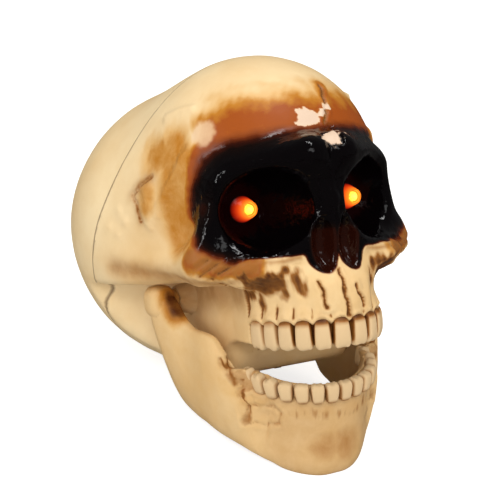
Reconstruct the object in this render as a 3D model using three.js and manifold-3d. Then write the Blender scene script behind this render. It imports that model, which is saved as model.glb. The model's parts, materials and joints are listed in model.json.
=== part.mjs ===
// Light-up skull decoration with a hinged jaw. Millimetres, +Z up, face towards -Y.
// The head is modelled upright in its own frame, whose origin lies midway between the ears. At the
// end it is leant back until it stands on its chin and on the lower back of the head.
import * as THREE from "three";
import { mergeVertices } from "three/addons/utils/BufferGeometryUtils.js";
import Module from "manifold-3d";

const wasm = await Module();
wasm.setup();

// Head, as half sizes that the sculpted features follow
const HEAD_HALF_WIDTH = 76;
const HEAD_HALF_LENGTH = 100;
const HEAD_HALF_HEIGHT = 75;
const WALL = 2.4;
const ROOM_SPARE = 1.2;
const FIT_GAP = 0.3;
const FREE_GAP = 0.6;
const WELD_DISTANCE = 1e-4;
const CUT_OVERRUN = 3;
const FLAT_DEPTH = 1;
const SEAM_LEAN_DEG = 24;

// Softness of the joins between sculpted features
const BROAD_BLEND = 20;
const MIDDLE_BLEND = 10;
const CLOSE_BLEND = 6;
const CRISP_BLEND = 2.5;

// Battery bay with two small cells
const CELL_RADIUS = 5.25;
const CELL_LENGTH = 43.7;
const CELL_NUB_RADIUS = 1.9;
const CELL_NUB_LENGTH = 0.9;
const SPRING_WIRE_RADIUS = 0.4;
const SPRING_COIL_RADIUS = 2.8;
const SPRING_LENGTH = 4.6;
const CONTACT_THICKNESS = 0.5;
const CONTACT_SIDE = 8;
const TRAY_WALL = 1.6;
const TRAY_CENTRE_Y = 8;
const FLANGE_LIP = 3.4;
const DOOR_CORNER = 3;
const SCREW_RADIUS = 1.3;
const SCREW_HEAD_RADIUS = 2.6;
const SCREW_HEAD_THICKNESS = 1.5;
const SCREW_LENGTH = 8;
const SCREW_POST_RADIUS = 3.2;
const SLOT_WIDTH = 0.7;
const SLOT_DEPTH = 0.6;

// Circuit board on the tray
const BOARD_LENGTH = 34;
const BOARD_WIDTH = 20;
const BOARD_THICKNESS = 1.6;
const BOARD_POST_HEIGHT = 4;
const CHIP_RADIUS = 5;
const CHIP_HEIGHT = 2;
const CAPACITOR_RADIUS = 2.5;
const CAPACITOR_HEIGHT = 6;

// Slide switch
const SLIDER_TRAVEL = 4;
const SLIDER_LENGTH = 3.5;
const SLIDER_WIDTH = 2.6;
const SLIDER_PROUD = 1.6;
const SWITCH_LENGTH = 14;
const SWITCH_WIDTH = 6;
const SWITCH_DEPTH = 5;
const SWITCH_FRAME = 1.2;

// Eyes
const EYE_SPACING = 55;
const LED_RADIUS = 2.5;
const LED_RIM_RADIUS = 3;
const LED_RIM_THICKNESS = 1.2;
const LED_BARREL = 5.5;
const EYE_BOSS_RADIUS = 6.6;
const EYE_BOSS_LENGTH = 8.5;
const COLLAR_RADIUS = 4.6;
const COLLAR_LENGTH = 3.4;
const LEAD_RADIUS = 1.1;
const LEAD_ROOM = 6;

// Jaw and its hinge
const HINGE_Y = 3;
const HINGE_Z = -5;
const KNOB_RADIUS = 8;
const KNOB_LENGTH = 14;
const KNOB_ROUNDING = 3;
const PIVOT_RADIUS = 2;
const PIVOT_HEAD_RADIUS = 4;
const PIVOT_HEAD_THICKNESS = 2.4;
const PIVOT_BITE_LENGTH = 8;
const JOINT_REACH = 7;
const JOINT_RADIUS = 6.5;
const HUB_RADIUS = 5;
const HUB_LENGTH = 1.4;
const WASHER_RADIUS = 5.6;
const WASHER_THICKNESS = 0.8;
const PIVOT_PAD_RADIUS = 7.5;
const PIVOT_PAD_THICKNESS = 2.4;

// Teeth
const UPPER_TOOTH_WIDTH = 8.2;
const UPPER_TOOTH_HEIGHT = 13.6;
const LOWER_TOOTH_WIDTH = 6.9;
const LOWER_TOOTH_HEIGHT = 9.6;
const TOOTH_THICKNESS = 5.4;
const TOOTH_GAP = 0.3;

// Screws that join the two shells
const POST_RADIUS = 5;
const POST_SEAT = 3;
const WELL_RADIUS = 3.2;
const POST_RIM_INSET = 7;

// Mesh fineness, as counts
const OUTSIDE_DETAIL = 11;
const INSIDE_DETAIL = 7;
const ROUND_SIDES = 16;
const OVAL_SIDES = 16;
const OVAL_TIERS = 8;
const SMALL_SIDES = 8;
const TUBE_SIDES = 6;
const JAW_SUBSTEPS = 1;
const JAW_RING_SIDES = 14;
const TOOTH_SIDES = 8;
const TOOTH_TIERS = 5;
const CORNER_STEPS = 4;
const DOME_STEPS = 4;
const EYE_LEAD_STEPS = 14;
const SHORT_LEAD_STEPS = 10;
const SPRING_TURNS = 3;
const SPRING_STEPS_PER_TURN = 8;
const WIRE_STEPS = 2;
const LEAN_PASSES = 40;

const PALETTE = {
  bone: { color: 0xe6c896, roughness: 0.5, metalness: 0 },
  lens: { color: 0xd02010, roughness: 0.12, metalness: 0 },
  white: { color: 0xe8e6df, roughness: 0.5, metalness: 0 },
  black: { color: 0x1b1b1d, roughness: 0.45, metalness: 0 },
  steel: { color: 0xb4b6b8, roughness: 0.35, metalness: 1 },
  green: { color: 0x1d6b3a, roughness: 0.5, metalness: 0 },
  cell: { color: 0x8a6a2c, roughness: 0.35, metalness: 0.4 },
  red: { color: 0xb3201a, roughness: 0.5, metalness: 0 },
};

// Sizes that follow from the ones above
const CHAMBER_LENGTH =
  CELL_LENGTH + CELL_NUB_LENGTH + SPRING_LENGTH + 2 * CONTACT_THICKNESS + 4 * FIT_GAP;
const CHAMBER_WIDTH = 4 * CELL_RADIUS + 3 * FIT_GAP;
const CHAMBER_HEIGHT = 2 * CELL_RADIUS + 2 * FIT_GAP;
const FLANGE_LENGTH = CHAMBER_LENGTH + 2 * TRAY_WALL + 2 * FLANGE_LIP;
const DOOR_LENGTH = FLANGE_LENGTH - 2 * FLANGE_LIP;
const SCREW_ROW = CHAMBER_WIDTH / 2 + TRAY_WALL / 2 + SCREW_POST_RADIUS;
const DOOR_WIDTH = 2 * (SCREW_ROW + SCREW_HEAD_RADIUS + FREE_GAP);
const FLANGE_WIDTH = DOOR_WIDTH + 2 * FLANGE_LIP;
const BASE_ROUNDING = 4 * WALL;
const BASE_HALF_WIDTH = FLANGE_LENGTH / 2 + 2 * WALL;
const BASE_DROP_SHARE = 0.56;
const BASE_DROP = BASE_DROP_SHARE * HEAD_HALF_HEIGHT;
const FLOOR_TOP = WALL - BASE_DROP;
const trayFloorZ = FLOOR_TOP + FIT_GAP;
const trayTopZ = trayFloorZ + CHAMBER_HEIGHT + TRAY_WALL;
const boardZ = trayTopZ + BOARD_POST_HEIGHT + FIT_GAP;
const boardTop = boardZ + BOARD_THICKNESS;
const SWITCH_Y = TRAY_CENTRE_Y - FLANGE_WIDTH / 2 - SWITCH_WIDTH / 2 - SWITCH_FRAME - FREE_GAP;
const BASE_FRONT = SWITCH_Y - SWITCH_WIDTH / 2 - BASE_ROUNDING;
const BASE_BACK = TRAY_CENTRE_Y + FLANGE_WIDTH / 2 + BASE_ROUNDING;
const JOINT_FACE = BASE_HALF_WIDTH + JOINT_REACH;
const KNOB_CENTRE_X = JOINT_FACE + FREE_GAP + HUB_LENGTH + KNOB_LENGTH / 2;
const POCKET_ROOF = HINGE_Z + KNOB_RADIUS + 2 * FREE_GAP;
const JAW_REACH_SHARE = 0.8;
const JAW_REACH = JAW_REACH_SHARE * HEAD_HALF_LENGTH;
const JAW_DROP_SHARE = 1.2;
const JAW_DROP = JAW_DROP_SHARE * HEAD_HALF_HEIGHT;

const radians = THREE.MathUtils.degToRad;
const clamp01 = (v) => Math.min(1, Math.max(0, v));

// Distance fields, negative inside

const ellipsoid = (p, centre, radii) => {
  let near = 0;
  let steep = 0;
  for (let i = 0; i < 3; i++) {
    const q = (p[i] - centre[i]) / radii[i];
    near += q * q;
    steep += (q / radii[i]) ** 2;
  }
  const k = Math.sqrt(near);
  return steep > 0 ? (k * (k - 1)) / Math.sqrt(steep) : -Math.min(...radii);
};

// A limb is the space round a segment, with a radius that runs from one value to another.
const limb = (p, a, b, radiusA, radiusB) => {
  let along = 0;
  let length = 0;
  for (let i = 0; i < 3; i++) {
    along += (p[i] - a[i]) * (b[i] - a[i]);
    length += (b[i] - a[i]) ** 2;
  }
  const t = clamp01(along / length);
  let off = 0;
  for (let i = 0; i < 3; i++) off += (p[i] - a[i] - t * (b[i] - a[i])) ** 2;
  return Math.sqrt(off) - (radiusA + (radiusB - radiusA) * t);
};

const roundBlock = (p, low, high, rounding) => {
  const q = p.map((v, i) => Math.abs(v - (low[i] + high[i]) / 2) - (high[i] - low[i]) / 2 + rounding);
  return Math.hypot(...q.map((v) => Math.max(v, 0))) + Math.min(Math.max(...q), 0) - rounding;
};

const join = (a, b, softness) => {
  const h = clamp01((1 + (b - a) / softness) / 2);
  return b + (a - b) * h - softness * h * (1 - h);
};
const common = (a, b, softness) => -join(-a, -b, softness);
const carve = (a, b, softness) => common(a, -b, softness);

const headPoint = ([x, y, z]) => [x * HEAD_HALF_WIDTH, y * HEAD_HALF_LENGTH, z * HEAD_HALF_HEIGHT];

// Ovals that the head is built from: centre and radii as shares of the head's half sizes
const builtOvalShares = [
  { centre: [0, 0.4, 0.35], radii: [1, 0.79, 0.99], soft: BROAD_BLEND }, // braincase
  { centre: [0, -0.13, 0.695], radii: [0.752, 0.61, 0.767], soft: BROAD_BLEND }, // forehead
  { centre: [0, -0.54, 0.4], radii: [0.53, 0.32, 0.507], soft: MIDDLE_BLEND }, // upper face
  { centre: [0, -0.52, 0], radii: [0.368, 0.37, 0.32], soft: MIDDLE_BLEND }, // upper jaw
];
// Ovals with crisp rims, mirrored: the eye sockets, their floors and the two halves of the nose
const crispOvalShares = [
  { centre: [0.382, -0.78, 0.507], radii: [0.276, 0.26, 0.24] },
  { centre: [0.355, -0.62, 0.507], radii: [0.18, 0.15, 0.165] },
  { centre: [0.086, -0.92, 0.28], radii: [0.08, 0.14, 0.173] },
];
// Ovals with soft rims, mirrored: the hollows at the temples and below the cheeks
const softOvalShares = [
  { centre: [1.026, -0.38, 0.587], radii: [0.263, 0.24, 0.347], soft: MIDDLE_BLEND }, // temple
  { centre: [0.526, -0.8, -0.027], radii: [0.184, 0.14, 0.133], soft: CLOSE_BLEND }, // cheek
];
// Ridges, as limbs with a radius at each end
const ridgeShares = [
  { from: [0.105, -0.8, 0.8], to: [0.451, -0.6, 0.707], radii: [0.118, 0.092] }, // brow
  { from: [0.498, -0.54, 0.667], to: [0.588, -0.5, 0.32], radii: [0.092, 0.118] }, // outer rim
  { from: [0.627, -0.5, 0.2], to: [0.395, -0.71, 0.12], radii: [0.118, 0.105] }, // cheek bone
  { from: [0.658, -0.44, 0.187], to: [0.816, 0.22, 0.187], radii: [0.105, 0.079] }, // cheek arch
  { from: [0, -0.74, 0.773], to: [0, -0.8, 0.533], radii: [0.118, 0.079] }, // nose bridge
];
// Upper tooth arch, seen from above, and the height that it reaches up to. The gum's edge stands
// above the bite and the palate lies within the teeth, by shares of a tooth's thickness.
const UPPER_ARCH_WIDTH_SHARE = 0.43;
const UPPER_ARCH_REACH_SHARE = 0.42;
const UPPER_ARCH_Y_SHARE = -0.47;
const UPPER_ARCH_TOP_SHARE = 0.1;
const UPPER_ARCH_BACK_SHARE = -0.3;
const BITE_SHARE = -0.34;
const GUM_LIFT_SHARE = 0.25;
const PALATE_RISE_SHARE = 0.2;
const PALATE_SIDE_SHARE = 1.5;
const PALATE_FRONT_SHARE = 1.2;

const archWidth = UPPER_ARCH_WIDTH_SHARE * HEAD_HALF_WIDTH;
const archReach = UPPER_ARCH_REACH_SHARE * HEAD_HALF_LENGTH;
const archY = UPPER_ARCH_Y_SHARE * HEAD_HALF_LENGTH;
const biteZ = BITE_SHARE * HEAD_HALF_HEIGHT;

const upperArch = (p) => {
  const flat = [p[0], Math.min(p[1] - archY, 0), 0];
  const wall = ellipsoid(flat, [0, 0, 0], [archWidth, archReach, archReach]);
  const top = p[2] - UPPER_ARCH_TOP_SHARE * HEAD_HALF_HEIGHT;
  const back = p[1] - UPPER_ARCH_BACK_SHARE * HEAD_HALF_LENGTH;
  const body = common(wall, Math.max(top, back), CLOSE_BLEND);
  return common(body, biteZ + GUM_LIFT_SHARE * TOOTH_THICKNESS - p[2], CRISP_BLEND);
};

// Hollow at each side of the base in which the upright branch of the jaw swings
const POCKET_BACK_SHARE = 0.2;
const POCKET_FRONT_SHARE = -0.54;
const POCKET_SLOPE_SHARE = 0.6;
const pocket = (p) => {
  const side = BASE_HALF_WIDTH - p[0];
  const behind = p[1] - POCKET_BACK_SHARE * HEAD_HALF_LENGTH + side * POCKET_SLOPE_SHARE;
  const back = behind / Math.hypot(1, POCKET_SLOPE_SHARE);
  const front = POCKET_FRONT_SHARE * HEAD_HALF_LENGTH - p[1];
  const wall = common(side, p[2] - POCKET_ROOF, CRISP_BLEND);
  return common(wall, common(back, front, CLOSE_BLEND), CLOSE_BLEND);
};

const base = (p) =>
  roundBlock(
    p,
    [-BASE_HALF_WIDTH, BASE_FRONT, -BASE_DROP - BASE_ROUNDING],
    [BASE_HALF_WIDTH, BASE_BACK, HEAD_HALF_HEIGHT / 4],
    BASE_ROUNDING,
  );

// The outer form leaves out the crisp ovals. The form of the room inside keeps clear of every
// hollow by the wall and a bit more, as its net is coarse.
const headField = (x, y, z, isRoom) => {
  const p = [Math.abs(x), y, z];
  const spare = isRoom ? ROOM_SPARE : 0;
  const oval = (row) => ellipsoid(p, headPoint(row.centre), headPoint(row.radii));
  const ridge = (row) => {
    const [a, b] = row.radii.map((share) => share * HEAD_HALF_WIDTH);
    return limb(p, headPoint(row.from), headPoint(row.to), a, b);
  };
  let d = oval(builtOvalShares[0]);
  for (const row of builtOvalShares.slice(1)) d = join(d, oval(row), row.soft);
  for (const row of ridgeShares) d = join(d, ridge(row), MIDDLE_BLEND);
  d = join(d, upperArch(p), CLOSE_BLEND);
  d = join(d, base(p), MIDDLE_BLEND);
  for (const row of softOvalShares) d = carve(d, oval(row), row.soft);
  if (isRoom) for (const row of crispOvalShares) d = carve(d, oval(row) - spare, CLOSE_BLEND);
  d = carve(d, pocket(p) - spare, CRISP_BLEND);
  return common(d, -z - BASE_DROP, CLOSE_BLEND);
};

// Solids

const welded = (geometry) => {
  const g = geometry.clone();
  g.deleteAttribute("normal");
  g.deleteAttribute("uv");
  return mergeVertices(g, WELD_DISTANCE);
};
const toSolid = (geometry) => {
  const merged = welded(geometry);
  const mesh = new wasm.Mesh({
    numProp: 3,
    vertProperties: new Float32Array(merged.attributes.position.array),
    triVerts: new Uint32Array(merged.index.array),
  });
  return new wasm.Manifold(mesh);
};
const placed = (geometry, matrix) => {
  const g = welded(geometry);
  g.applyMatrix4(matrix);
  return g;
};
const move = (x, y, z) => new THREE.Matrix4().makeTranslation(x, y, z);
const turnX = (angle) => new THREE.Matrix4().makeRotationX(angle);
const turnY = (angle) => new THREE.Matrix4().makeRotationY(angle);
const turnZ = (angle) => new THREE.Matrix4().makeRotationZ(angle);
const chain = (...list) => list.reduce((a, b) => a.clone().multiply(b));
const mirrorX = (geometry) => {
  const g = geometry.index ? geometry.toNonIndexed() : geometry.clone();
  const at = g.attributes.position;
  for (let i = 0; i < at.count; i++) at.setX(i, -at.getX(i));
  for (let i = 0; i < at.count; i += 3) {
    const [x, y, z] = [at.getX(i), at.getY(i), at.getZ(i)];
    at.setXYZ(i, at.getX(i + 1), at.getY(i + 1), at.getZ(i + 1));
    at.setXYZ(i + 1, x, y, z);
  }
  return g;
};

const block = (low, high) =>
  placed(
    new THREE.BoxGeometry(high[0] - low[0], high[1] - low[1], high[2] - low[2]),
    move((low[0] + high[0]) / 2, (low[1] + high[1]) / 2, (low[2] + high[2]) / 2),
  );
// A rod along +Z from one height to another; rodX and rodY lie along those axes.
const rod = (radius, from, to, sides) =>
  placed(
    new THREE.CylinderGeometry(radius, radius, to - from, sides),
    chain(move(0, 0, (from + to) / 2), turnX(Math.PI / 2)),
  );
const alongX = (geometry) => placed(geometry, turnY(Math.PI / 2));
const alongBack = (geometry) => placed(geometry, turnX(-Math.PI / 2));
const at = (geometry, x, y, z) => placed(geometry, move(x, y, z));

// A lathe profile is a list of radius and height pairs, from the axis round to the axis.
const lathe = (profile, sides) => {
  const points = profile.map(([r, z]) => new THREE.Vector2(r, z));
  return placed(new THREE.LatheGeometry(points, sides), turnX(Math.PI / 2));
};

const pan = (length, width, corner, thickness) => {
  const [a, b] = [length / 2 - corner, width / 2 - corner];
  const shape = new THREE.Shape();
  shape.absarc(a, b, corner, 0, Math.PI / 2);
  shape.absarc(-a, b, corner, Math.PI / 2, Math.PI);
  shape.absarc(-a, -b, corner, Math.PI, 1.5 * Math.PI);
  shape.absarc(a, -b, corner, 1.5 * Math.PI, 2 * Math.PI);
  const settings = { depth: thickness, bevelEnabled: false, curveSegments: CORNER_STEPS };
  return new THREE.ExtrudeGeometry(shape, settings);
};

const tube = (points, radius, steps) => {
  const shape = new THREE.Shape();
  shape.absarc(0, 0, radius, 0, 2 * Math.PI);
  const path = new THREE.CatmullRomCurve3(points.map((p) => new THREE.Vector3(...p)));
  return new THREE.ExtrudeGeometry(shape, { steps, extrudePath: path, curveSegments: TUBE_SIDES / 2 });
};

// Draws a net in from outside, along rays to one centre, until it lies on the field. Averaging the
// rays with their neighbours evens the net out between the draws.
const NET_CENTRE_SHARE = [0, -0.05, 0.333];
const FACE_PULL_SHARE = 0.36;
const NET_START_SHARE = 2;
const NET_STEP_SHARE = 0.7;
const NET_LEAST_STEP = 0.25;
const NET_TOLERANCE = 0.05;
const NET_PASSES = 3;

const netCentre = new THREE.Vector3(...headPoint(NET_CENTRE_SHARE));
const drawIn = (ray, isRoom) => {
  const offset = isRoom ? WALL : 0;
  let r = NET_START_SHARE * HEAD_HALF_LENGTH;
  for (;;) {
    const p = ray.clone().multiplyScalar(r).add(netCentre);
    const d = headField(p.x, p.y, p.z, isRoom) + offset;
    if (d <= NET_TOLERANCE || r < WALL) return p;
    r -= Math.max(d * NET_STEP_SHARE, NET_LEAST_STEP);
  }
};
const netOver = (isRoom, detail) => {
  const net = welded(new THREE.IcosahedronGeometry(1, detail));
  const pos = net.attributes.position;
  const index = net.index.array;
  const pull = new THREE.Vector3(0, -FACE_PULL_SHARE, 0);
  let rays = [];
  for (let i = 0; i < pos.count; i++) {
    rays.push(new THREE.Vector3().fromBufferAttribute(pos, i).add(pull).normalize());
  }
  let points = rays.map((ray) => drawIn(ray, isRoom));
  for (let pass = 1; pass < NET_PASSES; pass++) {
    const sums = rays.map(() => new THREE.Vector3());
    for (let i = 0; i < index.length; i += 3) {
      for (let k = 0; k < 3; k++) {
        const [a, b] = [index[i + k], index[i + ((k + 1) % 3)]];
        sums[a].add(points[b]);
        sums[b].add(points[a]);
      }
    }
    const counts = rays.map(() => 0);
    for (const v of index) counts[v] += 2;
    rays = sums.map((sum, i) => sum.divideScalar(counts[i]).sub(netCentre).normalize());
    points = rays.map((ray) => drawIn(ray, isRoom));
  }
  points.forEach((p, i) => pos.setXYZ(i, p.x, p.y, p.z));
  return net;
};

// Jaw ribbon. Each row holds the lower and the upper border point as shares of the jaw's half
// width, reach and drop. The half thicknesses there, and the bow of the side between them, are
// shares of the jaw's thickness.
const jawRowShares = [
  { low: [0.71, 0.188, -0.578], high: [0.93, 0.15, -0.133], thick: [0.21, 0.29], bow: 0 },
  { low: [0.71, 0.125, -0.633], high: [0.94, 0.1, -0.033], thick: [0.33, 0.5], bow: 0.08 },
  { low: [0.71, 0.025, -0.672], high: [0.94, 0.025, 0.0], thick: [0.375, 0.62], bow: 0.16 },
  { low: [0.7, -0.088, -0.706], high: [0.91, -0.075, -0.033], thick: [0.375, 0.5], bow: 0.16 },
  { low: [0.69, -0.175, -0.733], high: [0.86, -0.163, -0.133], thick: [0.375, 0.33], bow: 0.16 },
  { low: [0.675, -0.25, -0.761], high: [0.83, -0.263, -0.189], thick: [0.375, 0.29], bow: 0.16 },
  { low: [0.64, -0.325, -0.789], high: [0.815, -0.388, -0.2], thick: [0.42, 0.29], bow: 0.16 },
  { low: [0.605, -0.388, -0.811], high: [0.785, -0.469, -0.222], thick: [0.42, 0.29], bow: 0.16 },
  { low: [0.57, -0.45, -0.833], high: [0.745, -0.513, -0.3], thick: [0.42, 0.29], bow: 0.16 },
  { low: [0.53, -0.5, -0.861], high: [0.69, -0.544, -0.378], thick: [0.42, 0.33], bow: 0.16 },
  { low: [0.48, -0.55, -0.889], high: [0.625, -0.588, -0.395], thick: [0.42, 0.33], bow: 0.08 },
  { low: [0.43, -0.594, -0.911], high: [0.58, -0.656, -0.41], thick: [0.42, 0.33], bow: 0 },
  { low: [0.37, -0.638, -0.933], high: [0.52, -0.731, -0.43], thick: [0.42, 0.33], bow: -0.08 },
  { low: [0.29, -0.681, -0.956], high: [0.435, -0.806, -0.455], thick: [0.46, 0.33], bow: -0.08 },
  { low: [0.2, -0.713, -0.972], high: [0.315, -0.869, -0.475], thick: [0.5, 0.33], bow: -0.08 },
  { low: [0.105, -0.738, -0.978], high: [0.175, -0.906, -0.49], thick: [0.54, 0.33], bow: -0.12 },
];
const jawMiddleRowShares =
  { low: [0, -0.744, -0.978], high: [0, -0.919, -0.495], thick: [0.54, 0.33], bow: -0.12 };
const JAW_THICKNESS = 12;
const RING_SQUARENESS_SHARE = 0.55;
const JAW_SIDE_CENTRE_SHARE = -0.25;

const KNOB_X_SHARE = 0.94;
const JAW_HALF_WIDTH = KNOB_CENTRE_X / KNOB_X_SHARE;
const jawPoint = ([x, y, z]) =>
  new THREE.Vector3(x * JAW_HALF_WIDTH, y * JAW_REACH, z * JAW_DROP);

const jawRibbon = () => {
  const left = jawRowShares.map((row) => ({ ...row, side: 1 }));
  const right = jawRowShares.map((row) => ({ ...row, side: -1 })).reverse();
  const rows = [...left, { ...jawMiddleRowShares, side: 1 }, ...right];
  const track = (pick) => {
    const list = rows.map((row) => {
      const v = pick(row);
      return v instanceof THREE.Vector3 ? v.setX(v.x * row.side) : new THREE.Vector3(v, 0, 0);
    });
    return new THREE.CatmullRomCurve3(list, false, "catmullrom", 0.5);
  };
  const low = track((row) => jawPoint(row.low));
  const high = track((row) => jawPoint(row.high));
  const thickLow = track((row) => row.thick[0] * JAW_THICKNESS);
  const thickHigh = track((row) => row.thick[1] * JAW_THICKNESS);
  const bow = track((row) => row.bow * JAW_THICKNESS);
  const count = (rows.length - 1) * JAW_SUBSTEPS;
  const heart = new THREE.Vector3(0, JAW_SIDE_CENTRE_SHARE * JAW_REACH, -JAW_DROP / 2);
  const middle = (t) => low.getPoint(t).add(high.getPoint(t)).multiplyScalar(0.5);
  const places = [];
  const rings = [];
  for (let i = 0; i <= count; i++) {
    const t = i / count;
    const [a, b] = [low.getPoint(t), high.getPoint(t)];
    const rise = b.clone().sub(a);
    const along = middle(Math.min(t + 0.5 / count, 1)).sub(middle(Math.max(t - 0.5 / count, 0)));
    const out = rise.clone().cross(along).normalize();
    if (out.dot(middle(t).sub(heart)) < 0) out.negate();
    const ring = [];
    for (let k = 0; k < JAW_RING_SIDES; k++) {
      const angle = (2 * Math.PI * k) / JAW_RING_SIDES;
      const [c, s] = [Math.cos(angle), Math.sin(angle)];
      const h = (Math.sign(c) * Math.abs(c) ** RING_SQUARENESS_SHARE + 1) / 2;
      const side = Math.sign(s) * Math.abs(s) ** RING_SQUARENESS_SHARE;
      const half = thickLow.getPoint(t).x * (1 - h) + thickHigh.getPoint(t).x * h;
      const off = side * half + bow.getPoint(t).x * 4 * h * (1 - h);
      ring.push(places.push(a.clone().addScaledVector(rise, h).addScaledVector(out, off)) - 1);
    }
    rings.push(ring);
  }
  const faces = [];
  for (let i = 0; i < count; i++) {
    for (let k = 0; k < JAW_RING_SIDES; k++) {
      const j = (k + 1) % JAW_RING_SIDES;
      const [a, b, c, d] = [rings[i][k], rings[i][j], rings[i + 1][j], rings[i + 1][k]];
      faces.push(a, b, c, a, c, d);
    }
  }
  for (const [ring, flip] of [[rings[0], true], [rings[count], false]]) {
    const centre = new THREE.Vector3();
    for (const v of ring) centre.add(places[v]);
    const hub = places.push(centre.divideScalar(ring.length)) - 1;
    for (let k = 0; k < ring.length; k++) {
      const [a, b] = [ring[k], ring[(k + 1) % ring.length]];
      faces.push(...(flip ? [b, a, hub] : [a, b, hub]));
    }
  }
  const geometry = new THREE.BufferGeometry();
  const flat = places.flatMap((p) => [p.x, p.y, p.z]);
  geometry.setAttribute("position", new THREE.BufferAttribute(new Float32Array(flat), 3));
  let volume = 0;
  for (let i = 0; i < faces.length; i += 3) {
    const [a, b, c] = [places[faces[i]], places[faces[i + 1]], places[faces[i + 2]]];
    volume += a.clone().cross(b).dot(c);
  }
  geometry.setIndex(volume > 0 ? faces : faces.reverse());
  return geometry;
};

// Teeth stand along half an ellipse, from the middle outwards, mirrored.
const TOOTH_SQUARENESS_SHARE = 0.5;
const ARCH_STEP_RADIANS = 1e-3;
const toothForm = (width, thickness, height) => {
  const g = placed(new THREE.SphereGeometry(1, TOOTH_SIDES, TOOTH_TIERS), turnX(Math.PI / 2));
  const p = g.attributes.position;
  const power = (v) => Math.sign(v) * Math.abs(v) ** TOOTH_SQUARENESS_SHARE;
  for (let i = 0; i < p.count; i++) {
    const [x, y, z] = [power(p.getX(i)), power(p.getY(i)), power(p.getZ(i))];
    p.setXYZ(i, (x * width) / 2, (y * thickness) / 2, (z * height) / 2);
  }
  return g;
};
const toothRow = (spec) => {
  const list = [];
  let travelled = TOOTH_GAP / 2 + spec.widths[0] * spec.unit / 2;
  let angle = 0;
  let walked = 0;
  const place = (a) => [spec.halfWidth * Math.sin(a), spec.centreY - spec.reach * Math.cos(a)];
  spec.widths.forEach((share, i) => {
    while (walked < travelled) {
      const [x0, y0] = place(angle);
      const [x1, y1] = place(angle + ARCH_STEP_RADIANS);
      walked += Math.hypot(x1 - x0, y1 - y0);
      angle += ARCH_STEP_RADIANS;
    }
    const [x, y] = place(angle);
    const [xn, yn] = place(angle + ARCH_STEP_RADIANS);
    const heading = Math.atan2(yn - y, xn - x);
    const z = spec.height(y);
    const form = toothForm(share * spec.unit, TOOTH_THICKNESS, spec.tall);
    const pose = chain(move(x, y, z), turnZ(heading), turnX(spec.lean));
    list.push(toSolid(placed(form, pose)), toSolid(mirrorX(placed(form, pose))));
    const next = spec.widths[i + 1];
    if (next) travelled += ((share + next) * spec.unit) / 2 + TOOTH_GAP;
  });
  return list;
};
const upperToothShares = [1.02, 0.98, 1.02, 0.98, 0.98, 1.1];
const lowerToothShares = [0.96, 0.96, 1.02, 1.02, 0.98, 0.93, 1.07];
const LOWER_ARCH_WIDTH_SHARE = 0.6;
const LOWER_ARCH_REACH_SHARE = 0.385;
const LOWER_ARCH_Y_SHARE = -0.575;
const LOWER_BITE_SHARE = -0.503;
const LOWER_BITE_SLOPE_SHARE = 0.29;
const LOWER_LEAN_DEG = 14;
const UPPER_LEAN_DEG = 2;

// Shells

const outside = toSolid(netOver(false, OUTSIDE_DETAIL));
// The room inside: the hollow of the head, and square bays that clear the tray and the switch
const bay = block(
  [-FLANGE_LENGTH / 2 - FREE_GAP, TRAY_CENTRE_Y - FLANGE_WIDTH / 2 - FREE_GAP, FLOOR_TOP],
  [FLANGE_LENGTH / 2 + FREE_GAP, TRAY_CENTRE_Y + FLANGE_WIDTH / 2 + FREE_GAP, boardTop],
);
const switchBay = block(
  [-SWITCH_LENGTH / 2 - FREE_GAP, SWITCH_Y - SWITCH_WIDTH / 2 - FREE_GAP, FLOOR_TOP],
  [SWITCH_LENGTH / 2 + FREE_GAP, TRAY_CENTRE_Y, boardTop],
);
const inside = toSolid(netOver(true, INSIDE_DETAIL)).add(toSolid(bay)).add(toSolid(switchBay));
const SEAM_TOP_SHARE = [0, -0.12, 1.453];
const seamTop = headPoint(SEAM_TOP_SHARE);
const seamLean = radians(SEAM_LEAN_DEG);
const seamPose = chain(move(...seamTop), turnX(seamLean));
const REACH = 2 * (HEAD_HALF_LENGTH + HEAD_HALF_HEIGHT);
// In the seam's own frame -Y points to the face side, and the seam is the plane y = 0.
const seamSide = (low, high) =>
  toSolid(placed(block([-REACH, low, -REACH], [REACH, high, REACH]), seamPose));
const faceSide = seamSide(-REACH, -FIT_GAP / 2);
const rearSide = seamSide(FIT_GAP / 2, REACH);

const within = (geometry) => toSolid(geometry).intersect(outside);

const pieces = [];
const addPiece = (name, solid, finish) => pieces.push({ name, solid, finish });

// Pads and bosses that grow from the walls, each kept inside the outer form
const pivotPlace = (x) => move(x, HINGE_Y, HINGE_Z);
const both = (geometry) => [geometry, mirrorX(geometry)];
const padInner = BASE_HALF_WIDTH - WALL - PIVOT_PAD_THICKNESS;
const pivotPad = placed(
  alongX(rod(PIVOT_PAD_RADIUS, padInner, BASE_HALF_WIDTH + WALL, ROUND_SIDES)),
  pivotPlace(0),
);
const pivotHole = placed(
  alongX(rod(PIVOT_RADIUS + FIT_GAP, padInner - CUT_OVERRUN, KNOB_CENTRE_X, ROUND_SIDES)),
  pivotPlace(0),
);

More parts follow.
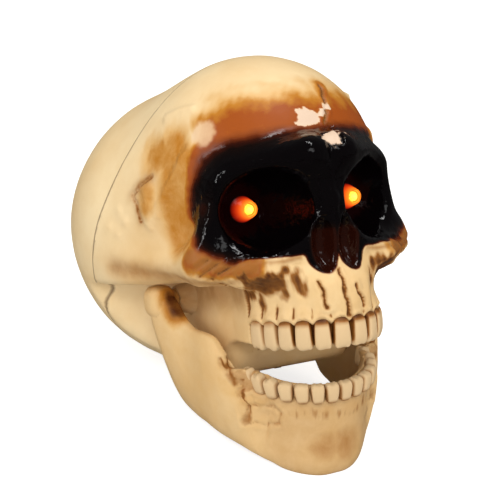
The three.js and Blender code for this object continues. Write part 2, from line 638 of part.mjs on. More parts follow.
const EYE_Z_SHARE = 0.507;
const EYE_TIP_SHARE = -0.575;
const eyeX = EYE_SPACING / 2;
const eyeZ = EYE_Z_SHARE * HEAD_HALF_HEIGHT;
const eyeTip = EYE_TIP_SHARE * HEAD_HALF_LENGTH;
const rimFront = eyeTip + LED_RADIUS + LED_BARREL;
const rimBack = rimFront + LED_RIM_THICKNESS;
const bossFront = rimFront - FIT_GAP - WALL;
const bossBack = bossFront + EYE_BOSS_LENGTH;
const eyeRod = (radius, from, to) => at(alongBack(rod(radius, from, to, ROUND_SIDES)), eyeX, 0, eyeZ);
const eyeBoss = eyeRod(EYE_BOSS_RADIUS, bossFront, bossBack);
const eyeHole = eyeRod(LED_RADIUS + FIT_GAP, bossFront - CUT_OVERRUN, bossBack);
const eyeBore = eyeRod(COLLAR_RADIUS + FIT_GAP, rimFront - FIT_GAP, bossBack + CUT_OVERRUN);

// Door opening and switch slot through the floor of the base
const floorCut = (geometry) => at(geometry, 0, 0, -BASE_DROP - CUT_OVERRUN);
const doorway = at(
  pan(DOOR_LENGTH + 2 * FIT_GAP, DOOR_WIDTH + 2 * FIT_GAP, DOOR_CORNER, WALL + 2 * CUT_OVERRUN),
  0, TRAY_CENTRE_Y, 0,
);
const slotHalf = (SLIDER_LENGTH + SLIDER_TRAVEL) / 2 + FIT_GAP;
const switchSlot = block(
  [-slotHalf, SWITCH_Y - SLIDER_WIDTH / 2 - FIT_GAP, 0],
  [slotHalf, SWITCH_Y + SLIDER_WIDTH / 2 + FIT_GAP, WALL + 2 * CUT_OVERRUN],
);

// Posts that carry the shell screws, square to the seam. A place is given across and up the seam,
// with the reach of its post on the face side. The side posts stand on the roofs of the pockets. The
// lower one stands on the floor of the base and stops behind the battery tray.
const upSeam = (z) => (z - seamTop[2]) / Math.cos(seamLean);
const seamY = (up) => seamTop[1] - up * Math.sin(seamLean);
const postSideZ = upSeam(POCKET_ROOF + WALL + ROOM_SPARE + POST_RADIUS);
const postSideX = BASE_HALF_WIDTH + 2 * POST_RADIUS;
const pocketBack = POCKET_BACK_SHARE * HEAD_HALF_LENGTH + 2 * POST_RADIUS * POCKET_SLOPE_SHARE;
const sideReach = (seamY(postSideZ) - pocketBack + 2 * POST_RADIUS) / Math.cos(seamLean);
const seamField = (z) => {
  const p = new THREE.Vector3(0, 0, z).applyMatrix4(seamPose);
  return headField(p.x, p.y, p.z, false);
};
let seamFoot = upSeam(-BASE_DROP - WALL);
while (seamField(seamFoot) > 0) seamFoot += NET_LEAST_STEP;
const postLowZ = seamFoot + POST_RIM_INSET;
const trayBack = TRAY_CENTRE_Y + FLANGE_WIDTH / 2 + FREE_GAP + POST_RADIUS * Math.sin(seamLean);
const lowReach = (seamY(postLowZ) - trayBack) / Math.cos(seamLean);
const postPlaces = [
  { name: "lower", x: 0, z: postLowZ, reach: lowReach },
  { name: "right", x: -postSideX, z: postSideZ, reach: sideReach },
  { name: "left", x: postSideX, z: postSideZ, reach: sideReach },
];
const postAt = (place, radius, from, to, sides) =>
  placed(at(alongBack(rod(radius, from, to, sides)), place.x, 0, place.z), seamPose);

let shell = outside.subtract(inside);
let face = shell.intersect(faceSide);
for (const row of crispOvalShares) {
  const oval = new THREE.SphereGeometry(1, OVAL_SIDES, OVAL_TIERS);
  const form = placed(alongBack(oval), new THREE.Matrix4().makeScale(...headPoint(row.radii)));
  for (const g of both(at(form, ...headPoint(row.centre)))) face = face.subtract(toSolid(g));
}
const jointBoss = placed(alongX(lathe([
  [0, BASE_HALF_WIDTH - WALL], [JOINT_RADIUS + WALL, BASE_HALF_WIDTH - WALL],
  [JOINT_RADIUS, JOINT_FACE],
  [0, JOINT_FACE],
], ROUND_SIDES)), pivotPlace(0));
for (const g of both(jointBoss)) face = face.add(toSolid(g));
for (const g of [...both(pivotPad), ...both(eyeBoss)]) face = face.add(within(g));
for (const place of postPlaces) {
  const post = postAt(place, POST_RADIUS, -place.reach, -FIT_GAP / 2, SMALL_SIDES);
  face = face.add(within(post).intersect(faceSide));
}
for (const tooth of toothRow({
  widths: upperToothShares,
  unit: UPPER_TOOTH_WIDTH,
  halfWidth: archWidth - TOOTH_THICKNESS / 2,
  reach: archReach,
  centreY: archY,
  height: () => biteZ + UPPER_TOOTH_HEIGHT / 2,
  tall: UPPER_TOOTH_HEIGHT,
  lean: radians(UPPER_LEAN_DEG),
})) face = face.add(tooth);
const palateForm = (growth) => {
  const form = new THREE.SphereGeometry(1, ROUND_SIDES, SMALL_SIDES);
  form.scale(
    archWidth - PALATE_SIDE_SHARE * TOOTH_THICKNESS + growth,
    archReach - PALATE_FRONT_SHARE * TOOTH_THICKNESS + growth,
    PALATE_RISE_SHARE * HEAD_HALF_HEIGHT + growth,
  );
  return at(form, 0, archY, biteZ);
};
const aheadOf = (y) => toSolid(block([-REACH, -REACH, -REACH], [REACH, y, REACH]));
face = face
  .add(within(palateForm(WALL)).intersect(aheadOf(BASE_FRONT)))
  .subtract(toSolid(palateForm(0)).intersect(aheadOf(BASE_FRONT - WALL)));
for (const g of [...both(pivotHole), ...both(eyeHole), ...both(eyeBore)]) face = face.subtract(toSolid(g));
face = face.subtract(toSolid(floorCut(doorway))).subtract(toSolid(floorCut(switchSlot)));
for (const place of postPlaces) {
  face = face.subtract(toSolid(
    postAt(place, SCREW_RADIUS + FIT_GAP, -SCREW_LENGTH - FIT_GAP, CUT_OVERRUN, SMALL_SIDES),
  ));
}

let rear = shell.intersect(rearSide);
for (const place of postPlaces) {
  rear = rear.add(within(postAt(place, POST_RADIUS, FIT_GAP / 2, REACH, SMALL_SIDES)));
}
for (const place of postPlaces) {
  rear = rear.subtract(toSolid(
    postAt(place, SCREW_RADIUS + FIT_GAP, -CUT_OVERRUN, POST_SEAT + CUT_OVERRUN, SMALL_SIDES),
  ));
  rear = rear.subtract(toSolid(postAt(place, WELL_RADIUS, POST_SEAT, REACH, SMALL_SIDES)));
}

// Jaw
const knob = (() => {
  const [r, h, c] = [KNOB_RADIUS, KNOB_LENGTH / 2, KNOB_ROUNDING];
  const profile = [[0, -h], [r - c, -h], [r, c - h], [r, h - c], [r - c, h], [0, h]];
  return placed(alongX(lathe(profile, ROUND_SIDES)), pivotPlace(KNOB_CENTRE_X));
})();
const screwEnd = JOINT_FACE + FREE_GAP + PIVOT_BITE_LENGTH;
const hubBore = placed(
  alongX(rod(PIVOT_RADIUS + FIT_GAP, JOINT_FACE, screwEnd + FIT_GAP, ROUND_SIDES)),
  pivotPlace(0),
);
const hub = placed(
  alongX(rod(HUB_RADIUS, JOINT_FACE + FREE_GAP, KNOB_CENTRE_X, ROUND_SIDES)), pivotPlace(0),
);
let jaw = toSolid(jawRibbon());
for (const g of [...both(knob), ...both(hub)]) jaw = jaw.add(toSolid(g));
const lowerBite = (y) =>
  LOWER_BITE_SHARE * JAW_DROP + (y + JAW_REACH) * LOWER_BITE_SLOPE_SHARE - LOWER_TOOTH_HEIGHT / 2;
for (const tooth of toothRow({
  widths: lowerToothShares,
  unit: LOWER_TOOTH_WIDTH,
  halfWidth: LOWER_ARCH_WIDTH_SHARE * JAW_HALF_WIDTH,
  reach: LOWER_ARCH_REACH_SHARE * JAW_REACH,
  centreY: LOWER_ARCH_Y_SHARE * JAW_REACH,
  height: lowerBite,
  tall: LOWER_TOOTH_HEIGHT,
  lean: radians(LOWER_LEAN_DEG),
})) jaw = jaw.add(tooth);
for (const g of both(hubBore)) jaw = jaw.subtract(toSolid(g));

// The lean at which the chin and the back of the head touch the table together
const lowest = (solid, lean) => {
  const p = solid.getMesh().vertProperties;
  let low = Infinity;
  for (let i = 0; i < p.length; i += 3) {
    low = Math.min(low, p[i + 2] * Math.cos(lean) - p[i + 1] * Math.sin(lean));
  }
  return low;
};
let [leanLow, leanHigh] = [0, Math.PI / 4];
for (let i = 0; i < LEAN_PASSES; i++) {
  const lean = (leanLow + leanHigh) / 2;
  if (lowest(rear, lean) > lowest(jaw, lean)) leanLow = lean;
  else leanHigh = lean;
}
const restLean = (leanLow + leanHigh) / 2;
const tableZ = Math.max(lowest(rear, restLean), lowest(jaw, restLean)) + FLAT_DEPTH;
const belowTable = toSolid(
  placed(block([-REACH, -REACH, tableZ - REACH], [REACH, REACH, tableZ]), turnX(restLean)),
);
rear = rear.subtract(belowTable);
jaw = jaw.subtract(belowTable);

addPiece("face_shell", face, "bone");
addPiece("rear_shell", rear, "bone");
addPiece("jaw", jaw, "bone");

// Screws: a domed head with a slot, pointing along -Z from a head that starts at zero
const SCREW_TOP_SHARE = 0.8;
const screw = (radius, headRadius, headThickness, length) => {
  const profile = [
    [0, -length], [radius, -length], [radius, 0], [headRadius, 0],
    [headRadius, headThickness / 2], [headRadius * SCREW_TOP_SHARE, headThickness],
    [0, headThickness],
  ];
  const slot = block(
    [-headRadius - CUT_OVERRUN, -SLOT_WIDTH / 2, headThickness - SLOT_DEPTH],
    [headRadius + CUT_OVERRUN, SLOT_WIDTH / 2, headThickness + CUT_OVERRUN],
  );
  return { body: lathe(profile, SMALL_SIDES), slot };
};
const addScrew = (name, part, pose) => {
  addPiece(name, toSolid(placed(part.body, pose)).subtract(toSolid(placed(part.slot, pose))), "steel");
};

// Pivot screws reach out from inside the head, through a washer and the wall, into the jaw's hub.
const headX = padInner - WASHER_THICKNESS - 2 * FIT_GAP;
const pivotScrew = screw(PIVOT_RADIUS, PIVOT_HEAD_RADIUS, PIVOT_HEAD_THICKNESS, screwEnd - headX);
const washer = toSolid(rod(WASHER_RADIUS, 0, WASHER_THICKNESS, ROUND_SIDES))
  .subtract(toSolid(rod(PIVOT_RADIUS + FIT_GAP, -CUT_OVERRUN, CUT_OVERRUN, ROUND_SIDES)));
for (const [side, name] of [[-1, "right"], [1, "left"]]) {
  const pose = chain(move(side * headX, HINGE_Y, HINGE_Z), turnY((-side * Math.PI) / 2));
  addScrew("pivot_screw_" + name, pivotScrew, pose);
  const washerPose = chain(
    move(side * (headX + FIT_GAP), HINGE_Y, HINGE_Z), turnY((side * Math.PI) / 2),
  );
  addPiece("pivot_washer_" + name, washer.transform(washerPose.elements), "white");
}

// Shell screws sit at the foot of the wells in the rear shell.
const shellScrew = screw(SCREW_RADIUS, SCREW_HEAD_RADIUS, SCREW_HEAD_THICKNESS, SCREW_LENGTH + POST_SEAT);
for (const place of postPlaces) {
  const pose = chain(
    seamPose, move(place.x, POST_SEAT + FIT_GAP, place.z), turnX(-Math.PI / 2),
  );
  addScrew("shell_screw_" + place.name, shellScrew, pose);
}

// Light-emitting diodes with their collars and leads
const dome = [
  [0, rimBack], [LED_RIM_RADIUS, rimBack], [LED_RIM_RADIUS, rimFront], [LED_RADIUS, rimFront],
];
for (let i = 0; i <= DOME_STEPS; i++) {
  const a = (i / DOME_STEPS) * (Math.PI / 2);
  const r = i === DOME_STEPS ? 0 : LED_RADIUS * Math.cos(a);
  dome.push([r, eyeTip + LED_RADIUS * (1 - Math.sin(a))]);
}
dome.reverse();
const collarFront = rimBack + FIT_GAP;
const collarBack = collarFront + COLLAR_LENGTH;
for (const [side, name] of [[-1, "right"], [1, "left"]]) {
  const led = at(alongBack(lathe(dome, ROUND_SIDES)), side * eyeX, 0, eyeZ);
  addPiece("eye_led_" + name, toSolid(led), "lens");
  const ring = toSolid(rod(COLLAR_RADIUS, collarFront, collarBack, ROUND_SIDES)).subtract(toSolid(
    rod(LEAD_RADIUS + FREE_GAP, collarFront - CUT_OVERRUN, collarBack + CUT_OVERRUN, SMALL_SIDES),
  ));
  const ringPose = chain(move(side * eyeX, 0, eyeZ), turnX(-Math.PI / 2));
  addPiece("led_collar_" + name, ring.transform(ringPose.elements), "black");
  const boardEdge = TRAY_CENTRE_Y - BOARD_WIDTH / 2 + LEAD_ROOM / 2;
  const leadX = side * (BOARD_LENGTH / 2 - LEAD_ROOM);
  addPiece("eye_lead_" + name, toSolid(tube([
    [side * eyeX, rimBack + FIT_GAP, eyeZ],
    [side * eyeX, collarBack + LEAD_ROOM, eyeZ],
    [side * (eyeX - LEAD_ROOM / 2), collarBack + 2 * LEAD_ROOM, (2 * eyeZ + boardTop) / 3],
    [leadX, boardEdge - LEAD_ROOM / 2, (eyeZ + 2 * boardTop) / 3],
    [leadX, boardEdge, boardTop + LEAD_ROOM],
    [leadX, boardEdge, boardTop + FIT_GAP],
  ], LEAD_RADIUS, EYE_LEAD_STEPS)), "red");
}

// Battery tray: a flange on the floor of the base, a chamber for two cells, screw posts for the
// door and posts for the board
const cy = TRAY_CENTRE_Y;
let tray = toSolid(at(pan(FLANGE_LENGTH, FLANGE_WIDTH, DOOR_CORNER, TRAY_WALL), 0, cy, trayFloorZ));
const chamberHalf = [CHAMBER_LENGTH / 2, CHAMBER_WIDTH / 2];
tray = tray.add(toSolid(block(
  [-chamberHalf[0] - TRAY_WALL, cy - chamberHalf[1] - TRAY_WALL, trayFloorZ],
  [chamberHalf[0] + TRAY_WALL, cy + chamberHalf[1] + TRAY_WALL, trayTopZ],
)));
const doorPostTop = trayFloorZ + SCREW_LENGTH + TRAY_WALL;
const boardPostX = BOARD_LENGTH / 2 - SCREW_HEAD_RADIUS - FREE_GAP;
for (const side of [-1, 1]) {
  tray = tray.add(toSolid(at(
    rod(SCREW_POST_RADIUS, trayFloorZ, doorPostTop, SMALL_SIDES), 0, cy + side * SCREW_ROW, 0,
  )));
  tray = tray.add(toSolid(at(
    rod(SCREW_POST_RADIUS, trayTopZ - TRAY_WALL, boardZ - FIT_GAP, SMALL_SIDES),
    side * boardPostX, cy + CHAMBER_WIDTH / 2 - SCREW_POST_RADIUS, 0,
  )));
}
tray = tray.subtract(toSolid(block(
  [-chamberHalf[0], cy - chamberHalf[1], trayFloorZ - CUT_OVERRUN],
  [chamberHalf[0], cy + chamberHalf[1], trayFloorZ + CHAMBER_HEIGHT],
)));
const boardScrewLength = BOARD_THICKNESS + BOARD_POST_HEIGHT;
for (const side of [-1, 1]) {
  tray = tray.subtract(toSolid(at(
    rod(SCREW_RADIUS + FIT_GAP, trayFloorZ - CUT_OVERRUN, doorPostTop - TRAY_WALL / 2, SMALL_SIDES),
    0, cy + side * SCREW_ROW, 0,
  )));
  tray = tray.subtract(toSolid(at(
    rod(SCREW_RADIUS + FIT_GAP, trayTopZ, boardZ + CUT_OVERRUN, SMALL_SIDES),
    side * boardPostX, cy + CHAMBER_WIDTH / 2 - SCREW_POST_RADIUS, 0,
  )));
}
addPiece("battery_tray", tray, "black");

// Cells, head to tail, with a spring at the flat end of each
const cellZ = trayFloorZ + FIT_GAP + CELL_RADIUS;
const cellProfile = [
  [0, 0], [CELL_RADIUS, 0], [CELL_RADIUS, CELL_LENGTH], [CELL_NUB_RADIUS, CELL_LENGTH],
  [CELL_NUB_RADIUS, CELL_LENGTH + CELL_NUB_LENGTH], [0, CELL_LENGTH + CELL_NUB_LENGTH],
];
const springPoints = (() => {
  const list = [];
  const n = SPRING_TURNS * SPRING_STEPS_PER_TURN;
  const pitch = (SPRING_LENGTH - 2 * SPRING_WIRE_RADIUS - 2 * FIT_GAP) / n;
  for (let i = 0; i <= n; i++) {
    const a = (2 * Math.PI * i) / SPRING_STEPS_PER_TURN;
    list.push([
      SPRING_COIL_RADIUS * Math.cos(a), SPRING_COIL_RADIUS * Math.sin(a),
      SPRING_WIRE_RADIUS + FIT_GAP + pitch * i,
    ]);
  }
  return list;
})();
const springForm = () => {
  const shape = new THREE.Shape();
  shape.absarc(0, 0, SPRING_WIRE_RADIUS, 0, 2 * Math.PI);
  const path = new THREE.CatmullRomCurve3(springPoints.map((p) => new THREE.Vector3(...p)));
  const steps = SPRING_TURNS * SPRING_STEPS_PER_TURN;
  return new THREE.ExtrudeGeometry(shape, { steps, extrudePath: path, curveSegments: WIRE_STEPS });
};
const endX = CHAMBER_LENGTH / 2 - CONTACT_THICKNESS - FIT_GAP;
for (const [side, name] of [[-1, "a"], [1, "b"]]) {
  const y = cy + side * (CELL_RADIUS + FIT_GAP / 2);
  // The flat end of cell a faces -X and the flat end of cell b faces +X.
  const flatX = side * (endX - SPRING_LENGTH);
  const pose = chain(move(flatX, y, cellZ), turnY((-side * Math.PI) / 2));
  addPiece("battery_" + name, toSolid(placed(lathe(cellProfile, ROUND_SIDES), pose)), "cell");
  const springPose = chain(move(side * endX, y, cellZ), turnY((-side * Math.PI) / 2));
  addPiece("battery_spring_" + name, toSolid(placed(springForm(), springPose)), "steel");
}
const plateZ = [cellZ - CONTACT_SIDE / 2, cellZ + CONTACT_SIDE / 2];
addPiece("contact_bridge", toSolid(block(
  [-endX - CONTACT_THICKNESS, cy - CELL_RADIUS - CONTACT_SIDE / 2, plateZ[0]],
  [-endX, cy + CELL_RADIUS + CONTACT_SIDE / 2, plateZ[1]],
)), "steel");
for (const [side, name] of [[-1, "plus"], [1, "minus"]]) {
  const y = cy + side * (CELL_RADIUS + FIT_GAP / 2);
  addPiece("contact_" + name, toSolid(block(
    [endX, y - CONTACT_SIDE / 2, plateZ[0]],
    [endX + CONTACT_THICKNESS, y + CONTACT_SIDE / 2, plateZ[1]],
  )), "steel");
}

// Battery door, flush with the underside, and its two screws
const doorTop = trayFloorZ - FIT_GAP;
const doorThickness = doorTop + BASE_DROP;
let door = toSolid(at(pan(DOOR_LENGTH, DOOR_WIDTH, DOOR_CORNER, doorThickness), 0, cy, -BASE_DROP));
const doorScrew = screw(SCREW_RADIUS, SCREW_HEAD_RADIUS, SCREW_HEAD_THICKNESS, SCREW_LENGTH);
const headSeat = -BASE_DROP + SCREW_HEAD_THICKNESS;
for (const side of [-1, 1]) {
  const y = cy + side * SCREW_ROW;
  door = door
    .subtract(toSolid(at(
      rod(SCREW_HEAD_RADIUS + FIT_GAP, -BASE_DROP - CUT_OVERRUN, headSeat + FIT_GAP, SMALL_SIDES), 0, y, 0,
    )))
    .subtract(toSolid(at(
      rod(SCREW_RADIUS + FIT_GAP, -BASE_DROP, doorTop + CUT_OVERRUN, SMALL_SIDES), 0, y, 0,
    )));
  addScrew("door_screw_" + (side < 0 ? "front" : "rear"), doorScrew, chain(
    move(0, y, headSeat), turnX(Math.PI),
  ));
}
addPiece("battery_door", door, "bone");

// Circuit board on its posts, with a potted chip, a capacitor and two screws
const boardY = cy;
const boardScrewY = cy + CHAMBER_WIDTH / 2 - SCREW_POST_RADIUS;
let board = toSolid(block(
  [-BOARD_LENGTH / 2, boardY - BOARD_WIDTH / 2, boardZ],
  [BOARD_LENGTH / 2, boardY + BOARD_WIDTH / 2, boardTop],
));
const boardScrew = screw(SCREW_RADIUS, SCREW_HEAD_RADIUS, SCREW_HEAD_THICKNESS, boardScrewLength);
for (const side of [-1, 1]) {
  board = board.subtract(toSolid(at(
    rod(SCREW_RADIUS + FIT_GAP, boardZ - CUT_OVERRUN, boardTop + CUT_OVERRUN, SMALL_SIDES),
    side * boardPostX, boardScrewY, 0,
  )));
  addScrew("board_screw_" + (side < 0 ? "right" : "left"), boardScrew,
    move(side * boardPostX, boardScrewY, boardTop + FIT_GAP));
}
addPiece("circuit_board", board, "green");
const CHIP_SHOULDER_SHARES = [0.7, 0.8];
const blob = [
  [0, 0], [CHIP_RADIUS, 0],
  [CHIP_SHOULDER_SHARES[0] * CHIP_RADIUS, CHIP_SHOULDER_SHARES[1] * CHIP_HEIGHT],
  [0, CHIP_HEIGHT],
];
addPiece("driver_chip", toSolid(at(lathe(blob, ROUND_SIDES), 0, boardY, boardTop + FIT_GAP)), "black");
addPiece("capacitor", toSolid(at(
  rod(CAPACITOR_RADIUS, 0, CAPACITOR_HEIGHT, SMALL_SIDES),
  CHIP_RADIUS + CAPACITOR_RADIUS + FREE_GAP, boardY, boardTop + FIT_GAP,
)), "black");

// Slide switch: a body on the floor of the base and a slider that pokes through the slot
const bodyLow = FLOOR_TOP + FIT_GAP;
const switchHalf = [SWITCH_LENGTH / 2, SWITCH_WIDTH / 2];
let body = toSolid(block(
  [-switchHalf[0], SWITCH_Y - switchHalf[1], bodyLow],
  [switchHalf[0], SWITCH_Y + switchHalf[1], bodyLow + SWITCH_DEPTH],
)).subtract(toSolid(block(
  [SWITCH_FRAME - switchHalf[0], SWITCH_Y - switchHalf[1] + SWITCH_FRAME, bodyLow - CUT_OVERRUN],
  [switchHalf[0] - SWITCH_FRAME, SWITCH_Y + switchHalf[1] - SWITCH_FRAME,
    bodyLow + SWITCH_DEPTH - SWITCH_FRAME],
)));
addPiece("switch_body", body, "steel");
const carriageHalf = switchHalf[0] - SWITCH_FRAME - FIT_GAP - SLIDER_TRAVEL / 2;
const sliderX = -SLIDER_TRAVEL / 2;
const slider = toSolid(block(
  [sliderX - SLIDER_LENGTH / 2, SWITCH_Y - SLIDER_WIDTH / 2, -BASE_DROP - SLIDER_PROUD],
  [sliderX + SLIDER_LENGTH / 2, SWITCH_Y + SLIDER_WIDTH / 2, bodyLow + 2 * SWITCH_FRAME],
)).add(toSolid(block(
  [sliderX - carriageHalf, SWITCH_Y - switchHalf[1] + SWITCH_FRAME + FIT_GAP, bodyLow],
  [sliderX + carriageHalf, SWITCH_Y + switchHalf[1] - SWITCH_FRAME - FIT_GAP,
    bodyLow + SWITCH_DEPTH - SWITCH_FRAME - FIT_GAP],
)));
addPiece("switch_slider", slider, "black");

// Leads from the battery contacts and from the switch to the edges of the board
const boardMiddle = boardZ + BOARD_THICKNESS / 2;
const riseX = chamberHalf[0] + TRAY_WALL + FREE_GAP + LEAD_RADIUS;
for (const [side, name] of [[-1, "plus"], [1, "minus"]]) {
  const y = cy + side * (CELL_RADIUS + FIT_GAP / 2);
  addPiece("battery_lead_" + name, toSolid(tube([
    [riseX, y, cellZ],
    [riseX, y, (cellZ + trayTopZ) / 2],
    [riseX, y, trayTopZ],
    [(2 * riseX + BOARD_LENGTH / 2) / 3, y, (trayTopZ + 2 * boardMiddle) / 3],
    [(riseX + BOARD_LENGTH) / 3, y, boardMiddle],
    [BOARD_LENGTH / 2 + FIT_GAP, y, boardMiddle],
  ], LEAD_RADIUS, SHORT_LEAD_STEPS)), side < 0 ? "red" : "black");
}
const switchTop = bodyLow + SWITCH_DEPTH + FIT_GAP;
const boardFront = boardY - BOARD_WIDTH / 2 - FIT_GAP;
addPiece("switch_lead", toSolid(tube([
  [0, SWITCH_Y, switchTop],
  [0, SWITCH_Y, switchTop + LEAD_ROOM / 2],
  [0, (3 * SWITCH_Y + boardFront) / 4, (switchTop + boardMiddle) / 2 + LEAD_ROOM / 2],
  [0, boardFront - LEAD_ROOM / 2, boardMiddle],
  [0, boardFront, boardMiddle],
], LEAD_RADIUS, SHORT_LEAD_STEPS)), "red");

const toGeometry = (solid) => {
  const mesh = solid.getMesh();
  const geometry = new THREE.BufferGeometry();
  const places = new Float32Array(mesh.triVerts.length * 3);
  for (let i = 0; i < mesh.triVerts.length; i++) {
    const v = mesh.triVerts[i] * mesh.numProp;
    for (let k = 0; k < 3; k++) places[i * 3 + k] = mesh.vertProperties[v + k];
  }
  geometry.setAttribute("position", new THREE.BufferAttribute(places, 3));
  geometry.computeVertexNormals();
  return geometry;
};

const head = new THREE.Group();
head.name = "skull_decoration";
for (const { name, solid, finish } of pieces) {
  const mesh = new THREE.Mesh(toGeometry(solid), new THREE.MeshStandardMaterial(PALETTE[finish]));
  mesh.name = name;
  head.add(mesh);
}
head.rotation.x = -restLean;
const skull = new THREE.Group();
skull.add(head);
skull.updateMatrixWorld(true);
const box = new THREE.Box3().setFromObject(skull, true);
head.position.set(-(box.min.x + box.max.x) / 2, -(box.min.y + box.max.y) / 2, -box.min.z);
skull.updateMatrixWorld(true);

export default skull;
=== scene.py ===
"""Looks of the light-up skull decoration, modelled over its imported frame.

The head is modelled upright, in millimetres, in a frame whose origin lies midway between the ears
and whose face looks towards -Y. to_row() leans it back into the frame's own place, in metres.
"""
import json
import math

import bmesh
import bpy
import numpy as np
from mathutils import Matrix, Vector


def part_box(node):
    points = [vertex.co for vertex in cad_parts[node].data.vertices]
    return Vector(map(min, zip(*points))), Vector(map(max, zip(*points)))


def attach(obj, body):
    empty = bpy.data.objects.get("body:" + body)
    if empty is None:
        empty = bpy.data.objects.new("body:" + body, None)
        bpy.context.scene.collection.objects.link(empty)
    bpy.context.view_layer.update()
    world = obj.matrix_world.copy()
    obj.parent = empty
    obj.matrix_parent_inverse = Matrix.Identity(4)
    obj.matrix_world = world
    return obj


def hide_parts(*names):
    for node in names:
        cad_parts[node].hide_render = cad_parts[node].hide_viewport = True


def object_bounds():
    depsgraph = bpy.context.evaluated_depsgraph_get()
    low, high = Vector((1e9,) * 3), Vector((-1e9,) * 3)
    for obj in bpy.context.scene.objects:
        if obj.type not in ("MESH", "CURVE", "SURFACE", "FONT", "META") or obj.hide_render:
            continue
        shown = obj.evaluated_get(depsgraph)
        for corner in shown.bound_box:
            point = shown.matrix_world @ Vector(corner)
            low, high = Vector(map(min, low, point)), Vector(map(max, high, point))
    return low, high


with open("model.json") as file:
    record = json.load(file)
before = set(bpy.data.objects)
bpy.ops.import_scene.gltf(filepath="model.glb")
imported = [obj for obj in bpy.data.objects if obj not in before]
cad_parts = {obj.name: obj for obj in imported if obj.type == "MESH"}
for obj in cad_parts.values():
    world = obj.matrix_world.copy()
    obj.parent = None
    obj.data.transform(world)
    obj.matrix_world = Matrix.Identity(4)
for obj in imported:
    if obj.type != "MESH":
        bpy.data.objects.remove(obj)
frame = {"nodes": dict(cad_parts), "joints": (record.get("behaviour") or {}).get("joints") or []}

bl_info = {
    "name": "Light-up skull decoration",
    "version": (1, 0, 0),
    "blender": (4, 5, 0),
    "location": "View3D > Sidebar > Skull",
    "description": "Models and paints a plastic skull with lit eyes over its frame",
    "category": "Add Mesh",
}

CAD_LOW, CAD_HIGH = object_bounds()
MM = 0.001

# Half sizes of the head, and places on it that the frame doesn't state
HALF = np.array([76.0, 100.0, 75.0])
HINGE = np.array([0.0, 3.0, -5.0])
SEAM_TOP = np.array([0.0, -12.0, 108.975])
SEAM_LEAN = math.radians(24)
BASE_HALF_WIDTH = 35.5
BASE_DROP = 42.0
BASE_FRONT, BASE_BACK = -30.95, 39.15
BASE_ROUNDING = 9.6
POCKET_ROOF = 4.2
BITE = -25.5
GUM = -14.6
# Longer than the head any way, for tools that cut right through it
REACH = 400.0
# Most that the sculpting sinks or raises the skin
SCULPT_DEPTH = 1.5
# What the room inside keeps clear beyond the wall: round the hollows, and behind the upper gum, where
# it fades in over a height and a depth
HOLLOW_SPARE = 2.6
GUM_SPARE = 2.5
GUM_SPARE_HEIGHTS = (18, 6)
GUM_SPARE_DEPTHS = (-38, -50)

# Places in the frame


def cell_centre(name):
    low, high = (np.array(corner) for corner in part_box(name))
    return (low + high) / 2


cell_step = cell_centre("battery_b") - cell_centre("battery_a")
LEAN = math.atan2(-cell_step[2], cell_step[1])
TURN = np.array([
    [1, 0, 0],
    [0, math.cos(LEAN), math.sin(LEAN)],
    [0, -math.sin(LEAN), math.cos(LEAN)],
])
hinge_joint = next(j for j in frame["joints"] if j["name"] == "jaw_hinge")
SHIFT = np.array(hinge_joint["pos_m"]) / MM - TURN @ HINGE


def to_row(points):
    """Points of the upright head, in millimetres, to the row frame in metres."""
    return (np.asarray(points) @ TURN.T + SHIFT) * MM


def to_head(points):
    """Points of the row frame, in metres, to the upright head in millimetres."""
    return (np.asarray(points) / MM - SHIFT) @ TURN


def head_box(name):
    """Corners of a node's box in the upright head, in millimetres."""
    node = frame["nodes"][name]
    world = np.array(node.matrix_world)
    p = to_head(np.array([v.co for v in node.data.vertices]) @ world[:3, :3].T + world[:3, 3])
    return p.min(0), p.max(0)


# Distance fields


def oval(p, centre, radii):
    q = (p - np.asarray(centre)) / np.asarray(radii)
    near = np.linalg.norm(q, axis=1)
    steep = np.linalg.norm(q / np.asarray(radii), axis=1)
    return near * (near - 1) / np.maximum(steep, 1e-9)


def limb(p, a, b, radius_a=0.0, radius_b=0.0):
    a, b = np.asarray(a, float), np.asarray(b, float)
    along = b - a
    t = np.clip(((p - a) @ along) / max(along @ along, 1e-9), 0, 1)
    return np.linalg.norm(p - a - t[:, None] * along, axis=1) - (radius_a + (radius_b - radius_a) * t)


def join(a, b, softness):
    h = np.clip(0.5 + 0.5 * (b - a) / softness, 0, 1)
    return b + (a - b) * h - softness * h * (1 - h)


def common(a, b, softness):
    return -join(-a, -b, softness)


def carve(a, b, softness):
    return common(a, -b, softness)


def fade(value, zero, one):
    """0 at zero, 1 at one, smooth between them."""
    t = np.clip((value - zero) / (one - zero), 0, 1)
    return t * t * (3 - 2 * t)


def hill(distance, width):
    return np.exp(-(distance / width) ** 2)


def mirrored(p):
    return np.stack([np.abs(p[:, 0]), p[:, 1], p[:, 2]], 1)


def flat_oval(x, y, radii):
    """Distance out of an oval that lies in a plane."""
    return oval(np.stack([x, y, 0 * x], 1), (0, 0, 0), (*radii, max(radii)))


